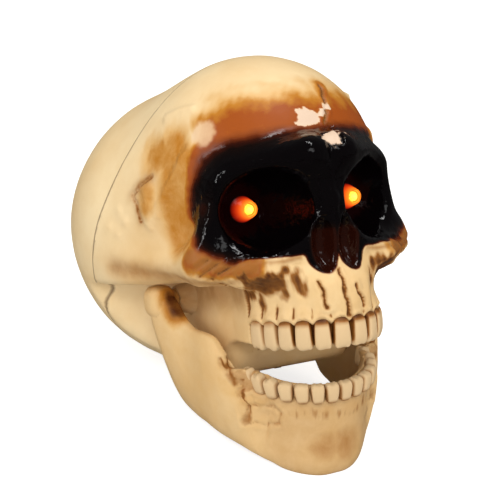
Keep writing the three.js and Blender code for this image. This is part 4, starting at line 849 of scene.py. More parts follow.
def head_paint(p, cavity, row):
    smoke, amber = smoke_and_amber(p, smoke_distance(p))
    umber = brown_paint_and_shade(p, cavity, smoke, row)
    # Pale spots: painted highlights on the forehead and brow, and a worn spot on the nasal spine
    ragged = 2.0 * ripple(p, 6.5, 14) + 0.8 * ripple(p, 3, 15)
    wear_and_highlight = np.max([
        fade(np.linalg.norm(p - on_skin((spot, spot))[0], axis=1) + ragged, radius, radius - 0.7)
        for spot, radius in WORN_SPOT_AND_HIGHLIGHTS], axis=0)
    from_highlight_spot = np.linalg.norm(p - on_skin((HIGHLIGHT_SPOT, HIGHLIGHT_SPOT))[0], axis=1) + 0.5 * ragged
    wear_and_highlight = np.maximum(wear_and_highlight, 0.45 * fade(from_highlight_spot, 7.5, 4.5))
    # Painted light: the eye lights' glow, strong on the ring round each light, faint on the socket
    low, high = head_box("eye_led_left")
    tip = np.array([(low[0] + high[0]) / 2, low[1] + 1, (low[2] + high[2]) / 2])
    from_eye = np.linalg.norm(mirrored(p) - tip, axis=1)
    return {
        "smoke": smoke * (1 - wear_and_highlight), "amber": np.clip(amber * (1 - wear_and_highlight), 0, 1),
        "umber": np.clip(umber * (1 - 0.85 * smoke), 0, 1), "wear_and_highlight": wear_and_highlight,
        "painted_and_lens_glow": fade(from_eye, 5.4, 3.1) + 0.03 * fade(from_eye, 13, 4) ** 2,
    }


def vertex_table(mesh, key):
    values = np.zeros(len(mesh.vertices) * 3, np.float32)
    mesh.vertices.foreach_get(key, values)
    return values.reshape(-1, 3).astype(float)


def cavity_of(mesh, rounds=5):
    """How far each vertex lies below its surroundings, in millimetres."""
    points = vertex_table(mesh, "co") / MM
    edges = np.zeros(len(mesh.edges) * 2, np.int32)
    mesh.edges.foreach_get("vertices", edges)
    edges = edges.reshape(-1, 2)
    smooth = points
    for _ in range(rounds):
        smooth = neighbour_mean(edges, smooth)
    return ((smooth - points) * vertex_table(mesh, "normal")).sum(1)


def finish_piece(obj, body, node, values):
    """Paints a piece and hands it to the frame in the place of its node."""
    for name, data in values.items():
        layer = obj.data.attributes.get(name) or obj.data.attributes.new(name, "FLOAT", "POINT")
        layer.data.foreach_set("value", np.asarray(data, np.float32))
    points = np.clip(vertex_table(obj.data, "co"), CAD_LOW, CAD_HIGH)
    obj.data.vertices.foreach_set("co", points.astype(np.float32).ravel())
    obj.data.materials.clear()
    obj.data.materials.append(material("painted_bone"))
    obj.data.shade_smooth()
    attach(obj, body)
    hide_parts(node)


# Jaw

# Rows along the jaw from its hinge to the chin: lower and upper border as shares of the jaw's half
# width, reach and drop, then half thicknesses and bow as shares of its thickness
JAW = np.array([54.79, 80.0, 90.0])
JAW_THICKNESS = 12.0
JAW_ROWS = (
    ((0.71, 0.188, -0.578), (0.93, 0.15, -0.133), 0.21, 0.29, 0),
    ((0.71, 0.125, -0.633), (0.94, 0.1, -0.033), 0.33, 0.5, 0.08),
    ((0.71, 0.025, -0.672), (0.94, 0.025, 0.0), 0.375, 0.62, 0.16),
    ((0.7, -0.088, -0.706), (0.91, -0.075, -0.033), 0.375, 0.5, 0.16),
    ((0.69, -0.175, -0.722), (0.86, -0.163, -0.133), 0.375, 0.33, 0.16),
    ((0.675, -0.25, -0.748), (0.83, -0.263, -0.189), 0.375, 0.29, 0.16),
    ((0.64, -0.325, -0.775), (0.815, -0.388, -0.2), 0.42, 0.29, 0.16),
    ((0.605, -0.388, -0.797), (0.785, -0.469, -0.222), 0.42, 0.29, 0.16),
    ((0.57, -0.45, -0.819), (0.745, -0.513, -0.3), 0.42, 0.29, 0.16),
    ((0.53, -0.5, -0.847), (0.69, -0.544, -0.378), 0.42, 0.33, 0.16),
    ((0.48, -0.55, -0.876), (0.625, -0.588, -0.395), 0.42, 0.33, 0.08),
    ((0.43, -0.594, -0.9), (0.58, -0.656, -0.41), 0.42, 0.33, 0),
    ((0.37, -0.638, -0.933), (0.52, -0.731, -0.43), 0.42, 0.33, -0.08),
    ((0.29, -0.681, -0.956), (0.435, -0.806, -0.455), 0.46, 0.33, -0.08),
    ((0.2, -0.713, -0.972), (0.315, -0.869, -0.475), 0.5, 0.33, -0.08),
    ((0.105, -0.738, -0.978), (0.175, -0.906, -0.49), 0.54, 0.33, -0.12),
    ((0, -0.744, -0.978), (0, -0.919, -0.495), 0.54, 0.33, -0.12),
)
RING_SQUARENESS = 0.55
CHIN_PATCH = (
    (36.3, -47.7, -53.1), (36.3, -45.9, -61), (30.2, -53.2, -62.3), (25.9, -59.1, -61.2),
    (25.5, -61.2, -56.8), (28.1, -59.1, -52.9), (36.3, -47.7, -53.1))
JAW_CRACK = (
    (41.5, -41, -30), (41.5, -43.9, -37.2), (38.4, -46.8, -40.5), (37.2, -47.5, -46),
    (36.3, -47.7, -53.1))
# Height and thickness of the ring that the spacing is measured on, and its number of points
RING_SHAPE = (5, 1)
RING_SAMPLES = 3000


def jaw_table():
    """The rows of both sides: low point, high point, half thicknesses and bow in millimetres."""
    left = np.array([
        [*(np.array(low) * JAW), *(np.array(high) * JAW), *(np.array(rest) * JAW_THICKNESS)]
        for low, high, *rest in JAW_ROWS])
    right = left[-2::-1] * [-1, 1, 1, -1, 1, 1, 1, 1, 1]
    rows = np.vstack([left, right])
    return np.vstack([2 * rows[0] - rows[1], rows, 2 * rows[-1] - rows[-2]])


def along_jaw(rows, t):
    """Smooth curve through the rows, at t from 0 to 1."""
    s = np.clip(t, 0, 1) * (len(rows) - 3)
    i = np.minimum(s.astype(int), len(rows) - 4)
    f = (s - i)[:, None]
    a, b, c, d = (rows[i + k] for k in range(4))
    return 0.5 * (2 * b + (c - a) * f + (2 * a - 5 * b + 4 * c - d) * f ** 2
                  + (3 * b - a - 3 * c + d) * f ** 3)


def even_ring(upright, out):
    """Turns evenly spread points of a quarter circle into evenly spread ones of a boxy tall ring."""
    turns = np.linspace(0, math.pi / 2, RING_SAMPLES)
    ring = np.stack([np.cos(turns), np.sin(turns)], 1) ** RING_SQUARENESS
    length = np.append(0, np.cumsum(np.linalg.norm(np.diff(ring * RING_SHAPE, axis=0), axis=1)))
    at = np.arctan2(out, upright) / (math.pi / 2) * length[-1]
    flat = (upright == 0) & (out == 0)
    return tuple(np.where(flat, 0, np.interp(at, length, ring[:, k])) for k in (0, 1))


def jaw_net(rings, around):
    """A sphere whose rings are laid along the jaw."""
    bm = bmesh.new()
    bmesh.ops.create_uvsphere(bm, u_segments=around, v_segments=rings, radius=1.0)
    p = coordinates(bm)
    polar = np.hypot(p[:, 0], p[:, 1])
    ring = np.where(polar > 1e-6, polar, 1e9)
    t = np.arccos(np.clip(p[:, 2], -1, 1)) / math.pi
    t = np.clip((t - 1 / rings) / (1 - 2 / rings), 0, 1)
    upright, out = even_ring(np.abs(p[:, 0] / ring), np.abs(p[:, 1] / ring))
    h, side = (np.sign(p[:, 0]) * upright + 1) / 2, np.sign(p[:, 1]) * out
    rows = jaw_table()
    step = 0.5 / (len(rows) - 3)
    at, after, before = (along_jaw(rows, t + shift) for shift in (0, step, -step))
    rise = at[:, 3:6] - at[:, :3]
    ahead = after[:, :3] + after[:, 3:6] - before[:, :3] - before[:, 3:6]
    out = np.cross(rise, ahead)
    out /= np.linalg.norm(out, axis=1, keepdims=True)
    from_heart = at[:, :3] + rise / 2 - [0, -0.25 * JAW[1], -JAW[2] / 2]
    out *= np.sign((from_heart * out).sum(1))[:, None]
    half = at[:, 6] * (1 - h) + at[:, 7] * h
    off = side * half + at[:, 8] * 4 * h * (1 - h)
    place(bm, at[:, :3] + rise * h[:, None] + out * off[:, None])
    return bm


def lower_bite(y):
    return -0.503 * JAW[2] + (y + JAW[1]) * 0.29 - 4.8


def lower_gum(p, row):
    """Height above the scalloped edge of the lower gum, place along the teeth, and where it counts."""
    u = row.phase(p)
    above = p[:, 2] - lower_bite(p[:, 1]) + 3.4 + 1.2 * (1 - u ** 2)
    outer = fade(row.across(p), 0.9, 0.99) * fade(p[:, 1], -34, -40)
    return above, u, outer


def sculpt_jaw(bm, row):
    p = coordinates(bm)
    p[:, 1] += 2.2 * fade(p[:, 1], -44, -66) * fade(p[:, 2], -84, -68)
    p[:, 0] *= 1 - 0.07 * fade(p[:, 1], -35, -58)
    q = mirrored(p)
    above, u, outer = lower_gum(p, row)
    shift = -1.5 * fade(above, -0.3, 0.7) * fade(above, 9.4, 8.4) + 0.9 * hill(above + 1.2, 1.0)
    shift += 0.5 * (1 - u ** 2) * fade(above, -1.5, -3) * fade(above, -12, -5)
    shift -= 1.5 * fade(above, -3, -10) * fade(above, -34, -18) + 1.0 * fade(p[:, 1], -44, -56)
    facing = row.outward(q)
    crack = line_distance(shaken(q), JAW_CRACK, facing)
    patch = line_distance(shaken(q), CHIN_PATCH, facing)
    push = 0.18 * (ripple(p, 30, 41) - 1.5) + 0.05 * ripple(p, 10, 42)
    push += jaw_outside(p) * groove(patch, *PATCH_SHAPE) - 1.3 * hill(crack, 0.9)
    push -= 0.8 * outer * hill(np.linalg.norm((q - [4, -66, -76]) * [0.7, 1, 1], axis=1), 5.5)
    push += 1.8 * hill(np.linalg.norm(q - [37.5, -47.5, -38.5], axis=1), 3.2)
    shift *= outer * (u < 1.5)
    place(bm, p + outward_normals(bm) * push[:, None] + row.outward(p) * shift[:, None])


def jaw_outside(p):
    """1 on the outer face of the jaw's body, below the teeth too."""
    return fade(np.hypot(p[:, 0], p[:, 1] + 40), 19, 24)


def jaw_paint(p, cavity, row):
    q = mirrored(p)
    outer_face = jaw_outside(p)
    above, u, outer = lower_gum(p, row)
    small, wander = ripple(p, 7, 52), ripple(p, 24, 51)
    side = np.abs(p[:, 0])
    streaks = fade(ripple(p * [1, 1, 0.12], 5.5, 53), -0.25, 0.6)
    streaks = hill(above + 7, 3.6) * fade(side, 25, 17) * streaks
    facing = row.outward(q)
    recess = line_distance(q, ((48.5, -7, -2.5), (48.5, -11, -9))) + 0.8 * small
    back_molar = line_distance(q, ((41.5, -43.5, -34), (38.5, -46, -41))) + small
    patch = line_distance(shaken(q), CHIN_PATCH, facing)
    # Painted shade on the gum behind and between the lower teeth
    in_gum = outer * (u < 1.5) * fade(above, -0.6, 0.4) * fade(above, 9.2, 8.2)
    umber = np.max([
        in_gum * (0.3 + 0.35 * fade(side, 32, 22)),
        0.14 * outer_face * fade(p[:, 1], -42, -56),
        0.55 * outer_face * streaks,
        0.45 * outer_face * hill(patch, 0.9),
        0.7 * hill(line_distance(shaken(q), JAW_CRACK, facing), 0.9) * fade(row.across(q), 0.8, 0.95),
        # Painted shade in the hollow of the chin
        0.4 * outer_face * hill(np.linalg.norm(q - [5, -64, -74], axis=1) + 2 * wander, 9),
        # Painted shade in the recess in front of the knob
        0.95 * fade(recess, 6.5, 1.5),
        0.55 * fade(back_molar, 3.2, 0.5),
        # Painted shade in the hollows of the jaw
        0.35 * fade(cavity, 0.1, 0.5),
    ], axis=0)
    amber = np.max([
        0.55 * fade(recess, 13, 4), 0.22 * fade(wander + 0.2 * small, 0.1, 0.8),
        0.25 * outer * fade(above + 2 * small, 2, -2) * fade(above, -16, -6),
        0.2 + 0 * side], axis=0)
    return {"umber": np.clip(umber, 0, 1), "amber": np.clip(amber, 0, 1)}


# Materials


def linear(r, g, b):
    def one(c):
        c /= 255
        return c / 12.92 if c <= 0.04045 else ((c + 0.055) / 1.055) ** 2.4
    return (one(r), one(g), one(b), 1.0)


def rgba(colour):
    return tuple(colour) + (1.0,)


class Nodes:
    """A material and short ways to add nodes to it."""

    def __init__(self, name):
        self.material = bpy.data.materials.new(name)
        self.material.use_nodes = True
        self.tree = self.material.node_tree
        self.shader = self.tree.nodes["Principled BSDF"]
        self.coords = self.tree.nodes.new("ShaderNodeTexCoord")

    def add(self, kind, **settings):
        node = self.tree.nodes.new(kind)
        for key, value in settings.items():
            setattr(node, key, value)
        return node

    def put(self, socket, source):
        if isinstance(source, bpy.types.NodeSocket):
            self.tree.links.new(source, socket)
        else:
            socket.default_value = source

    def shade(self, **inputs):
        for key, source in inputs.items():
            self.put(self.shader.inputs[key.replace("_", " ").title()], source)

    def noise(self, scale, detail=4.0, roughness=0.55, distortion=0.0):
        node = self.add("ShaderNodeTexNoise")
        for key, value in (
            ("Scale", scale), ("Detail", detail), ("Roughness", roughness), ("Distortion", distortion),
        ):
            node.inputs[key].default_value = value
        self.put(node.inputs["Vector"], self.coords.outputs["Object"])
        return node.outputs["Fac"]

    def value(self, name):
        node = self.add("ShaderNodeAttribute", attribute_name=name, attribute_type="GEOMETRY")
        return node.outputs["Fac"]

    def math(self, operation, a, b=0.0, clamp=False):
        node = self.add("ShaderNodeMath", operation=operation, use_clamp=clamp)
        self.put(node.inputs[0], a)
        self.put(node.inputs[1], b)
        return node.outputs[0]

    def vector_math(self, operation, a, b, output="Vector"):
        node = self.add("ShaderNodeVectorMath", operation=operation)
        self.put(node.inputs[0], a)
        self.put(node.inputs[1], b)
        return node.outputs[output]

    def span(self, source, low, high, out_low=0.0, out_high=1.0):
        node = self.add("ShaderNodeMapRange")
        for key, value in (
            ("Value", source), ("From Min", low), ("From Max", high), ("To Min", out_low),
            ("To Max", out_high),
        ):
            self.put(node.inputs[key], value)
        return node.outputs["Result"]

    def mix(self, factor, a, b):
        node = self.add("ShaderNodeMix", data_type="RGBA")
        for index, source in ((0, factor), (6, a), (7, b)):
            self.put(node.inputs[index], source)
        return node.outputs[2]

    def ramp(self, source, stops):
        node = self.add("ShaderNodeValToRGB")
        while len(node.color_ramp.elements) < len(stops):
            node.color_ramp.elements.new(0.5)
        for element, (position, colour) in zip(node.color_ramp.elements, stops):
            element.position, element.color = position, colour
        self.put(node.inputs["Fac"], source)
        return node.outputs["Color"]

    def bump(self, height, strength, distance):
        node = self.add("ShaderNodeBump")
        node.inputs["Strength"].default_value = strength
        node.inputs["Distance"].default_value = distance
        self.put(node.inputs["Height"], height)
        self.put(self.shader.inputs["Normal"], node.outputs["Normal"])


# The lacquer from its thin brown edge to its black, and the pale worn spot and painted highlights
LACQUER = (
    (0.0, linear(112, 48, 1)), (0.28, linear(104, 42, 10)), (0.5, linear(48, 15, 6)),
    (0.75, linear(16, 6, 4)), (1.0, linear(4, 2, 3)),
)
WEAR_AND_HIGHLIGHT_COLOUR = linear(226, 200, 176)
BONE_IOR = 1.38
# The lit lens from its tip outwards, and how far out the last colour lies, in metres
LENS_GLOW = (
    (0.0, (1.0, 0.66, 0.09, 1)), (0.38, (1.0, 0.5, 0.04, 1)), (0.55, (1.0, 0.3, 0.018, 1)),
    (0.75, (0.8, 0.04, 0.004, 1)), (1.0, (0.3, 0.006, 0.001, 1)),
)
LENS_REACH = 0.006
# Strength of the lit lens as seen and in reflections, and the share of the painted glow round it in
# reflections
LENS_SEEN, LENS_IN_GLOSS = 1.6, 0.35
PAINTED_GLOW_IN_GLOSS = 0.12


def painted_bone(finish):
    """Moulded bone-cream plastic, airbrushed browns, a black lacquered zone and painted shade, highlights
    and glow.
    """
    m = Nodes("painted_bone")
    mottle, cloud = m.noise(34, 5, 0.6), m.noise(13, 3, 0.5)
    grain, brush = m.noise(320, 4, 0.6), m.noise(110, 5, 0.65, 0.3)
    cream = m.mix(m.span(mottle, 0.32, 0.72), rgba(finish.bone), rgba(finish.bone_warm))
    cream = m.mix(m.span(cloud, 0.5, 0.75, 0.0, 0.45), cream, rgba(finish.bone_shade))
    cream = m.mix(m.value("tooth"), cream, rgba(finish.tooth))
    amber = m.math("MULTIPLY", m.value("amber"), m.span(brush, 0.3, 0.7, 0.8, 1.15), True)
    umber = m.math("MULTIPLY", m.value("umber"), m.span(brush, 0.25, 0.65, 0.7, 1.15), True)
    colour = m.mix(m.span(amber, 0.0, 0.55), cream, rgba(finish.amber_light))
    colour = m.mix(m.span(amber, 0.32, 0.85), colour, rgba(finish.amber))
    # Brown strokes and stains, and painted shade in hollows, under the cheek arch and between teeth
    colour = m.mix(m.span(umber, 0.0, 0.55), colour, rgba(finish.thin_umber_and_shade))
    colour = m.mix(m.span(umber, 0.45, 1.0), colour, rgba(finish.umber))
    # Painted shade: a thin dark line along the parting line, where shade falls in the gap between the
    # shells
    across_seam = TURN @ [0, math.cos(SEAM_LEAN), math.sin(SEAM_LEAN)]
    along = m.vector_math("DOT_PRODUCT", m.coords.outputs["Object"], across_seam, "Value")
    from_seam = m.math("ABSOLUTE", m.math("SUBTRACT", along, float(to_row(SEAM_TOP) @ across_seam)))
    colour = m.mix(m.span(from_seam, 0.0002, 0.0008, 0.55, 0.0), colour, rgba(finish.umber))
    smoke = m.value("smoke")
    colour = m.mix(m.span(smoke, 0.02, 0.3), colour, m.ramp(smoke, LACQUER))
    colour = m.mix(m.value("wear_and_highlight"), colour, WEAR_AND_HIGHLIGHT_COLOUR)
    # Painted light: the eye lights' glow painted round each light on the face shell, weaker in
    # reflections
    painted_and_lens_glow = m.value("painted_and_lens_glow")
    seen = m.span(m.add("ShaderNodeLightPath").outputs["Is Glossy Ray"], 0, 1, 1.0, PAINTED_GLOW_IN_GLOSS)
    m.shade(
        base_color=colour, roughness=m.span(smoke, 0.1, 0.55, 0.42, 0.055),
        emission_color=m.mix(m.math("POWER", painted_and_lens_glow, 2.5), rgba(finish.light), rgba(finish.light_core)),
        emission_strength=m.math("MULTIPLY", m.math("MULTIPLY", painted_and_lens_glow, seen), finish.painted_and_lens_glow))
    m.shader.inputs["IOR"].default_value = BONE_IOR
    waves = m.math("ADD", m.noise(120, 2, 0.5, 0.8), m.math("MULTIPLY", m.noise(420, 2), 0.3))
    waves = m.math("MULTIPLY", waves, m.span(smoke, 0.2, 0.8, 0.0, 2.4))
    m.bump(m.math("ADD", m.math("MULTIPLY", grain, 0.35), waves), 0.3, 0.0008)
    return m.material


def lit_lens(finish):
    """Clear dome that glows yellow in the middle and red at its rim."""
    m = Nodes("lit_lens")
    low, high = head_box("eye_led_left")
    tip = to_row([(low[0] + high[0]) / 2, low[1], (low[2] + high[2]) / 2])
    mirror = m.add("ShaderNodeVectorMath", operation="ABSOLUTE")
    m.put(mirror.inputs[0], m.coords.outputs["Object"])
    from_tip = m.vector_math("SUBTRACT", mirror.outputs["Vector"], tuple(np.abs(tip)))
    reach = m.span(m.vector_math("LENGTH", from_tip, (0, 0, 0), "Value"), 0.0, LENS_REACH)
    rings = m.math("ADD", reach, m.span(m.noise(900, 2), 0.3, 0.7, -0.16, 0.16))
    colour = m.ramp(rings, LENS_GLOW)
    in_gloss = m.add("ShaderNodeLightPath").outputs["Is Glossy Ray"]
    m.shade(
        base_color=(0.5, 0.04, 0.008, 1), roughness=0.1,
        emission_color=m.mix(in_gloss, colour, rgba(finish.light)),
        emission_strength=m.span(
            in_gloss, 0, 1, LENS_SEEN * finish.painted_and_lens_glow, LENS_IN_GLOSS * finish.painted_and_lens_glow))
    return m.material


def plain_plastic(name, colour, roughness):
    m = Nodes(name)
    shade = tuple(c * 0.82 for c in colour)
    m.shade(base_color=m.mix(m.span(m.noise(120, 5), 0.3, 0.7), rgba(colour), rgba(shade)),
            roughness=m.span(m.noise(300, 3), 0.3, 0.7, roughness * 0.85, roughness * 1.15))
    m.bump(m.noise(700, 3), 0.15, 0.0002)
    return m.material


def bright_steel():
    m = Nodes("bright_steel")
    light, dark = (0.62, 0.63, 0.64, 1), (0.5, 0.5, 0.5, 1)
    m.shade(metallic=1.0, base_color=m.mix(m.span(m.noise(220, 5), 0.3, 0.7), light, dark),
            roughness=m.span(m.noise(400, 4), 0.3, 0.7, 0.25, 0.42))
    m.bump(m.noise(1500, 3), 0.1, 0.0001)
    return m.material


def paper():
    """Seamless white studio paper, white to the camera where nothing shades it."""
    m = Nodes("paper")
    path = m.add("ShaderNodeLightPath")
    fibre = m.mix(m.noise(6, 2), (0.6, 0.6, 0.6, 1), (0.58, 0.58, 0.58, 1))
    m.shade(
        base_color=m.mix(path.outputs["Is Glossy Ray"], fibre, (0.05, 0.05, 0.05, 1)), roughness=0.9,
        emission_color=(1, 1, 1, 1),
        emission_strength=m.math("MULTIPLY", path.outputs["Is Camera Ray"], 0.76))
    return m.material


PLASTICS = {
    "white_plastic": ((0.8, 0.79, 0.75), 0.45), "black_plastic": ((0.02, 0.02, 0.022), 0.4),
    "red_plastic": ((0.5, 0.02, 0.015), 0.4), "green_board": ((0.02, 0.16, 0.06), 0.35),
    "cell_wrap": ((0.28, 0.16, 0.03), 0.3),
}
FINISHES = {}


def material(name):
    """The material of a name, made when it is first asked for."""
    if name not in FINISHES:
        finish = bpy.context.scene.skull_finish
        if name in PLASTICS:
            FINISHES[name] = plain_plastic(name, *PLASTICS[name])
        elif name in ("bright_steel", "paper"):
            FINISHES[name] = bright_steel() if name == "bright_steel" else paper()
        else:
            FINISHES[name] = lit_lens(finish) if name == "lit_lens" else painted_bone(finish)
    return FINISHES[name]


# Settings


def colour_setting(name, description, default):
    return bpy.props.FloatVectorProperty(
        name=name, description=description, subtype="COLOR", size=3, min=0, max=1,
        default=default[:3])


def length_setting(name, description, default):
    return bpy.props.FloatProperty(
        name=name, description=description, default=default, min=0, unit="LENGTH",
        subtype="DISTANCE")


class SkullFinish(bpy.types.PropertyGroup):
    bone: colour_setting("Bone", "Light bone colour", linear(241, 218, 174))
    bone_warm: colour_setting("Warm bone", "Darker bone colour in the mottling", linear(231, 201, 150))
    bone_shade: colour_setting("Bone shade", "Bone colour in broad clouds", linear(224, 190, 142))
    tooth: colour_setting("Tooth", "Colour of the teeth", linear(219, 189, 145))
    amber_light: colour_setting("Light amber", "Thin airbrushed orange brown", linear(206, 146, 44))
    amber: colour_setting("Amber", "Dense airbrushed orange brown", linear(158, 75, 10))
    # The umbers also colour the painted shade in hollows, under the cheek arch, between teeth and at the
    # seam
    thin_umber_and_shade: colour_setting("Light umber", "Thin brown wash", linear(158, 102, 42))
    umber: colour_setting("Umber", "Brown wash in the hollows", linear(80, 38, 10))
    # Colours of the eye lights, also painted as glow on the face shell round each light
    light: colour_setting("Eye light", "Colour that the lights throw", (1.0, 0.03, 0.006))
    light_core: colour_setting("Eye light core", "Colour close to the lights", (1.0, 0.34, 0.02))
    painted_and_lens_glow: bpy.props.FloatProperty(
        name="Glow", description="Strength of the eye lights", default=1.6, min=0)


class SkullForm(bpy.types.PropertyGroup):
    fineness: bpy.props.IntProperty(
        name="Fineness", description="Subdivisions of the net over the head", default=7, min=5, max=7)
    wall: length_setting("Wall", "Thickness of the shells", 0.0024)
    seam: length_setting("Seam", "Gap of the parting line", 0.0003)
    upper_tooth_width: length_setting("Upper tooth width", "Width of a middle upper tooth", 0.0082)
    upper_tooth_height: length_setting("Upper tooth height", "Height of the upper teeth", 0.0136)
    lower_tooth_width: length_setting("Lower tooth width", "Width of a middle lower tooth", 0.0069)
    lower_tooth_height: length_setting("Lower tooth height", "Height of the lower teeth", 0.0096)
    tooth_thickness: length_setting("Tooth thickness", "Thickness of the teeth", 0.0054)


# Operators

ROOM_FINENESS = 6
# Radii of the hinge bosses and of what holds a light, in millimetres
BOSS_FOOT, BOSS_FACE = 8.9, 6.5
EYE_BOSS, EYE_RING_FOOT, EYE_RING = 6.6, 6.2, 3.8
LIGHT_HOLE, COLLAR_SEAT = 2.8, 4.9
EYE_RING_SET_BACK = 0.7
# Radius of the hinge's holes, and where its bosses end, out from the middle
PIVOT_HOLE = 2.3
JOINT_FACE = 42.5
# The doorway's gap and corners, and the half width and half length of the slot for the switch
DOOR_GAP, DOOR_CORNER = 0.3, 3.0
SLOT_HALF = (4.05, 1.6)
# Radii of a post of the rear shell, its pilot and its screw well
POST, PILOT, SCREW_WELL = 5, 1.6, 3.2
# The knobs of the jaw: the gap to their boss, how far out they start, half sizes, squareness, the
# radius of their neck and the depth of the screw's hole
JAW_GAP = 0.6
KNOB_SET_OUT = 1.4
KNOB_HALF = np.array([7.0, 8.0, 8.0])
KNOB_SQUARENESS = 0.72
KNOB_NECK = 5
PIVOT_DEPTH = 8.3
# Rings along the jaw and points round each
JAW_MESH, JAW_MESH_QUICK = (400, 120), (150, 48)


class SKULL_OT_shells(bpy.types.Operator):
    """Models the face shell and the rear shell"""
    bl_idname = "skull.shells"
    bl_label = "Shells"

    def execute(self, context):
        form = context.scene.skull_form
        row = upper_row(form)
        bm = skin_net(form.fineness)
        sculpt_head(bm, row)
        whole = make_object("head_whole", bm)
        room = make_object("room", room_net(ROOM_FINENESS, form.wall / MM))
        face, rear = twin(whole, "face_skin"), twin(whole, "rear_skin")
        gap = form.seam / MM / 2
        pose = Matrix.Translation(SEAM_TOP) @ Matrix.Rotation(SEAM_LEAN, 4, "X")
        cut(face, block((-REACH, -REACH, -REACH), (REACH, -gap, REACH), pose), "INTERSECT")
        cut(face, room, keep_tool=True)
        cut(rear, block((-REACH, gap, -REACH), (REACH, REACH, REACH), pose), "INTERSECT")
        cut(rear, room)
        self.open_face(face, whole, form.wall / MM, form.tooth_thickness / MM)
        self.open_rear(rear, whole, pose, gap)
        drop(whole)
        for obj, node in ((face, "face_shell"), (rear, "rear_shell")):
            points = to_head(vertex_table(obj.data, "co"))
            finish_piece(obj, "skull", node, head_paint(points, cavity_of(obj.data), row))
        return {"FINISHED"}

    def open_face(self, face, whole, wall, thickness):
        """Palate, hinge bosses, seats of the lights, doorway and switch slot"""
        palate = np.array([ARCH_HALF[0] - 1.5 * thickness, ARCH_HALF[1] - 1.2 * thickness, 0.2 * HALF[2]])
        for radii, end in ((palate + wall, BASE_FRONT), (palate, BASE_FRONT - wall)):
            vault = ball((0, ARCH_Y, BITE), radii)
            cut(vault, block((-REACH, -REACH, -REACH), (REACH, end, REACH)), "INTERSECT")
            if end == BASE_FRONT:
                cut(face, cut(vault, whole, "INTERSECT", keep_tool=True), "UNION")
            else:
                cut(face, vault)
        y, z = HINGE[1:]
        boss_foot = BASE_HALF_WIDTH - wall
        both_sides(lambda flip: rod(
            flip * (boss_foot, y, z), flip * (JOINT_FACE, y, z), BOSS_FOOT, BOSS_FACE), face, "UNION")
        both_sides(lambda flip: rod(
            flip * (boss_foot - 7, y, z), flip * (JOINT_FACE + 3, y, z), PIVOT_HOLE), face)
        low, high = head_box("eye_led_left")
        x, tip, z = (low[0] + high[0]) / 2, low[1], (low[2] + high[2]) / 2
        seat = head_box("led_collar_left")[0][1]
        both_sides(lambda flip: cut(rod(
            flip * (x, seat - wall, z), flip * (x, seat + 6, z), EYE_BOSS),
            whole, "INTERSECT", keep_tool=True), face, "UNION")
        both_sides(lambda flip: rod(
            flip * (x, seat - 0.5, z), flip * (x, tip + EYE_RING_SET_BACK, z), EYE_RING_FOOT,
            EYE_RING), face, "UNION")
        both_sides(lambda flip: rod(flip * (x, tip, z), flip * (x, seat + 9, z), LIGHT_HOLE), face)
        both_sides(lambda flip: rod(
            flip * (x, seat - 0.1, z), flip * (x, seat + 12, z), COLLAR_SEAT), face)
        low, high = head_box("battery_door")
        gap = np.array([DOOR_GAP, DOOR_GAP, 3])
        cut(face, block(low - gap, high + gap, corner=DOOR_CORNER))
        low, high = head_box("switch_slider")
        y = (low[1] + high[1]) / 2
        across, along = SLOT_HALF
        cut(face, block((-across, y - along, low[2] - 3), (across, y + along, wall + 3 - BASE_DROP)))
        drop_specks(face)

    def open_rear(self, rear, whole, pose, gap):
        """Posts with screw wells, and the flat that the head rests on"""
        along = pose.to_3x3() @ Vector((0, 1, 0))
        for name in ("lower", "right", "left"):
            low, high = head_box("shell_screw_" + name)
            middle = Vector((low + high) / 2)
            foot = middle - along * ((middle - Vector(SEAM_TOP)) @ along)
            post = rod(foot + along * gap, foot + along * REACH, POST)
            cut(rear, cut(post, whole, "INTERSECT", keep_tool=True), "UNION")
            cut(rear, rod(foot - along * 3, foot + along * 6, PILOT))
            cut(rear, rod(foot + along * 3, foot + along * REACH, SCREW_WELL))
        cut(rear, table())


class SKULL_OT_upper_teeth(bpy.types.Operator):
    """Models the upper teeth"""
    bl_idname = "skull.upper_teeth"
    bl_label = "Upper teeth"

    def execute(self, context):
        form = context.scene.skull_form
        tall = form.upper_tooth_height / MM
        obj = teeth_object(
            "upper_teeth", upper_row(form), bite=lambda y: BITE + tall / 2, tall=tall,
            thickness=form.tooth_thickness / MM, neck=0.86, lean=math.radians(2), root_up=True)
        finish_piece(obj, "skull", "face_shell", {"tooth": np.ones(len(obj.data.vertices))})
        return {"FINISHED"}


class SKULL_OT_lower_teeth(bpy.types.Operator):
    """Models the lower teeth"""
    bl_idname = "skull.lower_teeth"
    bl_label = "Lower teeth"

    def execute(self, context):
        form = context.scene.skull_form
        obj = teeth_object(
            "lower_teeth", lower_row(form), bite=lower_bite, tall=form.lower_tooth_height / MM,
            thickness=form.tooth_thickness / MM, neck=0.8, lean=math.radians(14), root_up=False)
        finish_piece(obj, "jaw", "jaw", {"tooth": np.ones(len(obj.data.vertices))})
        return {"FINISHED"}


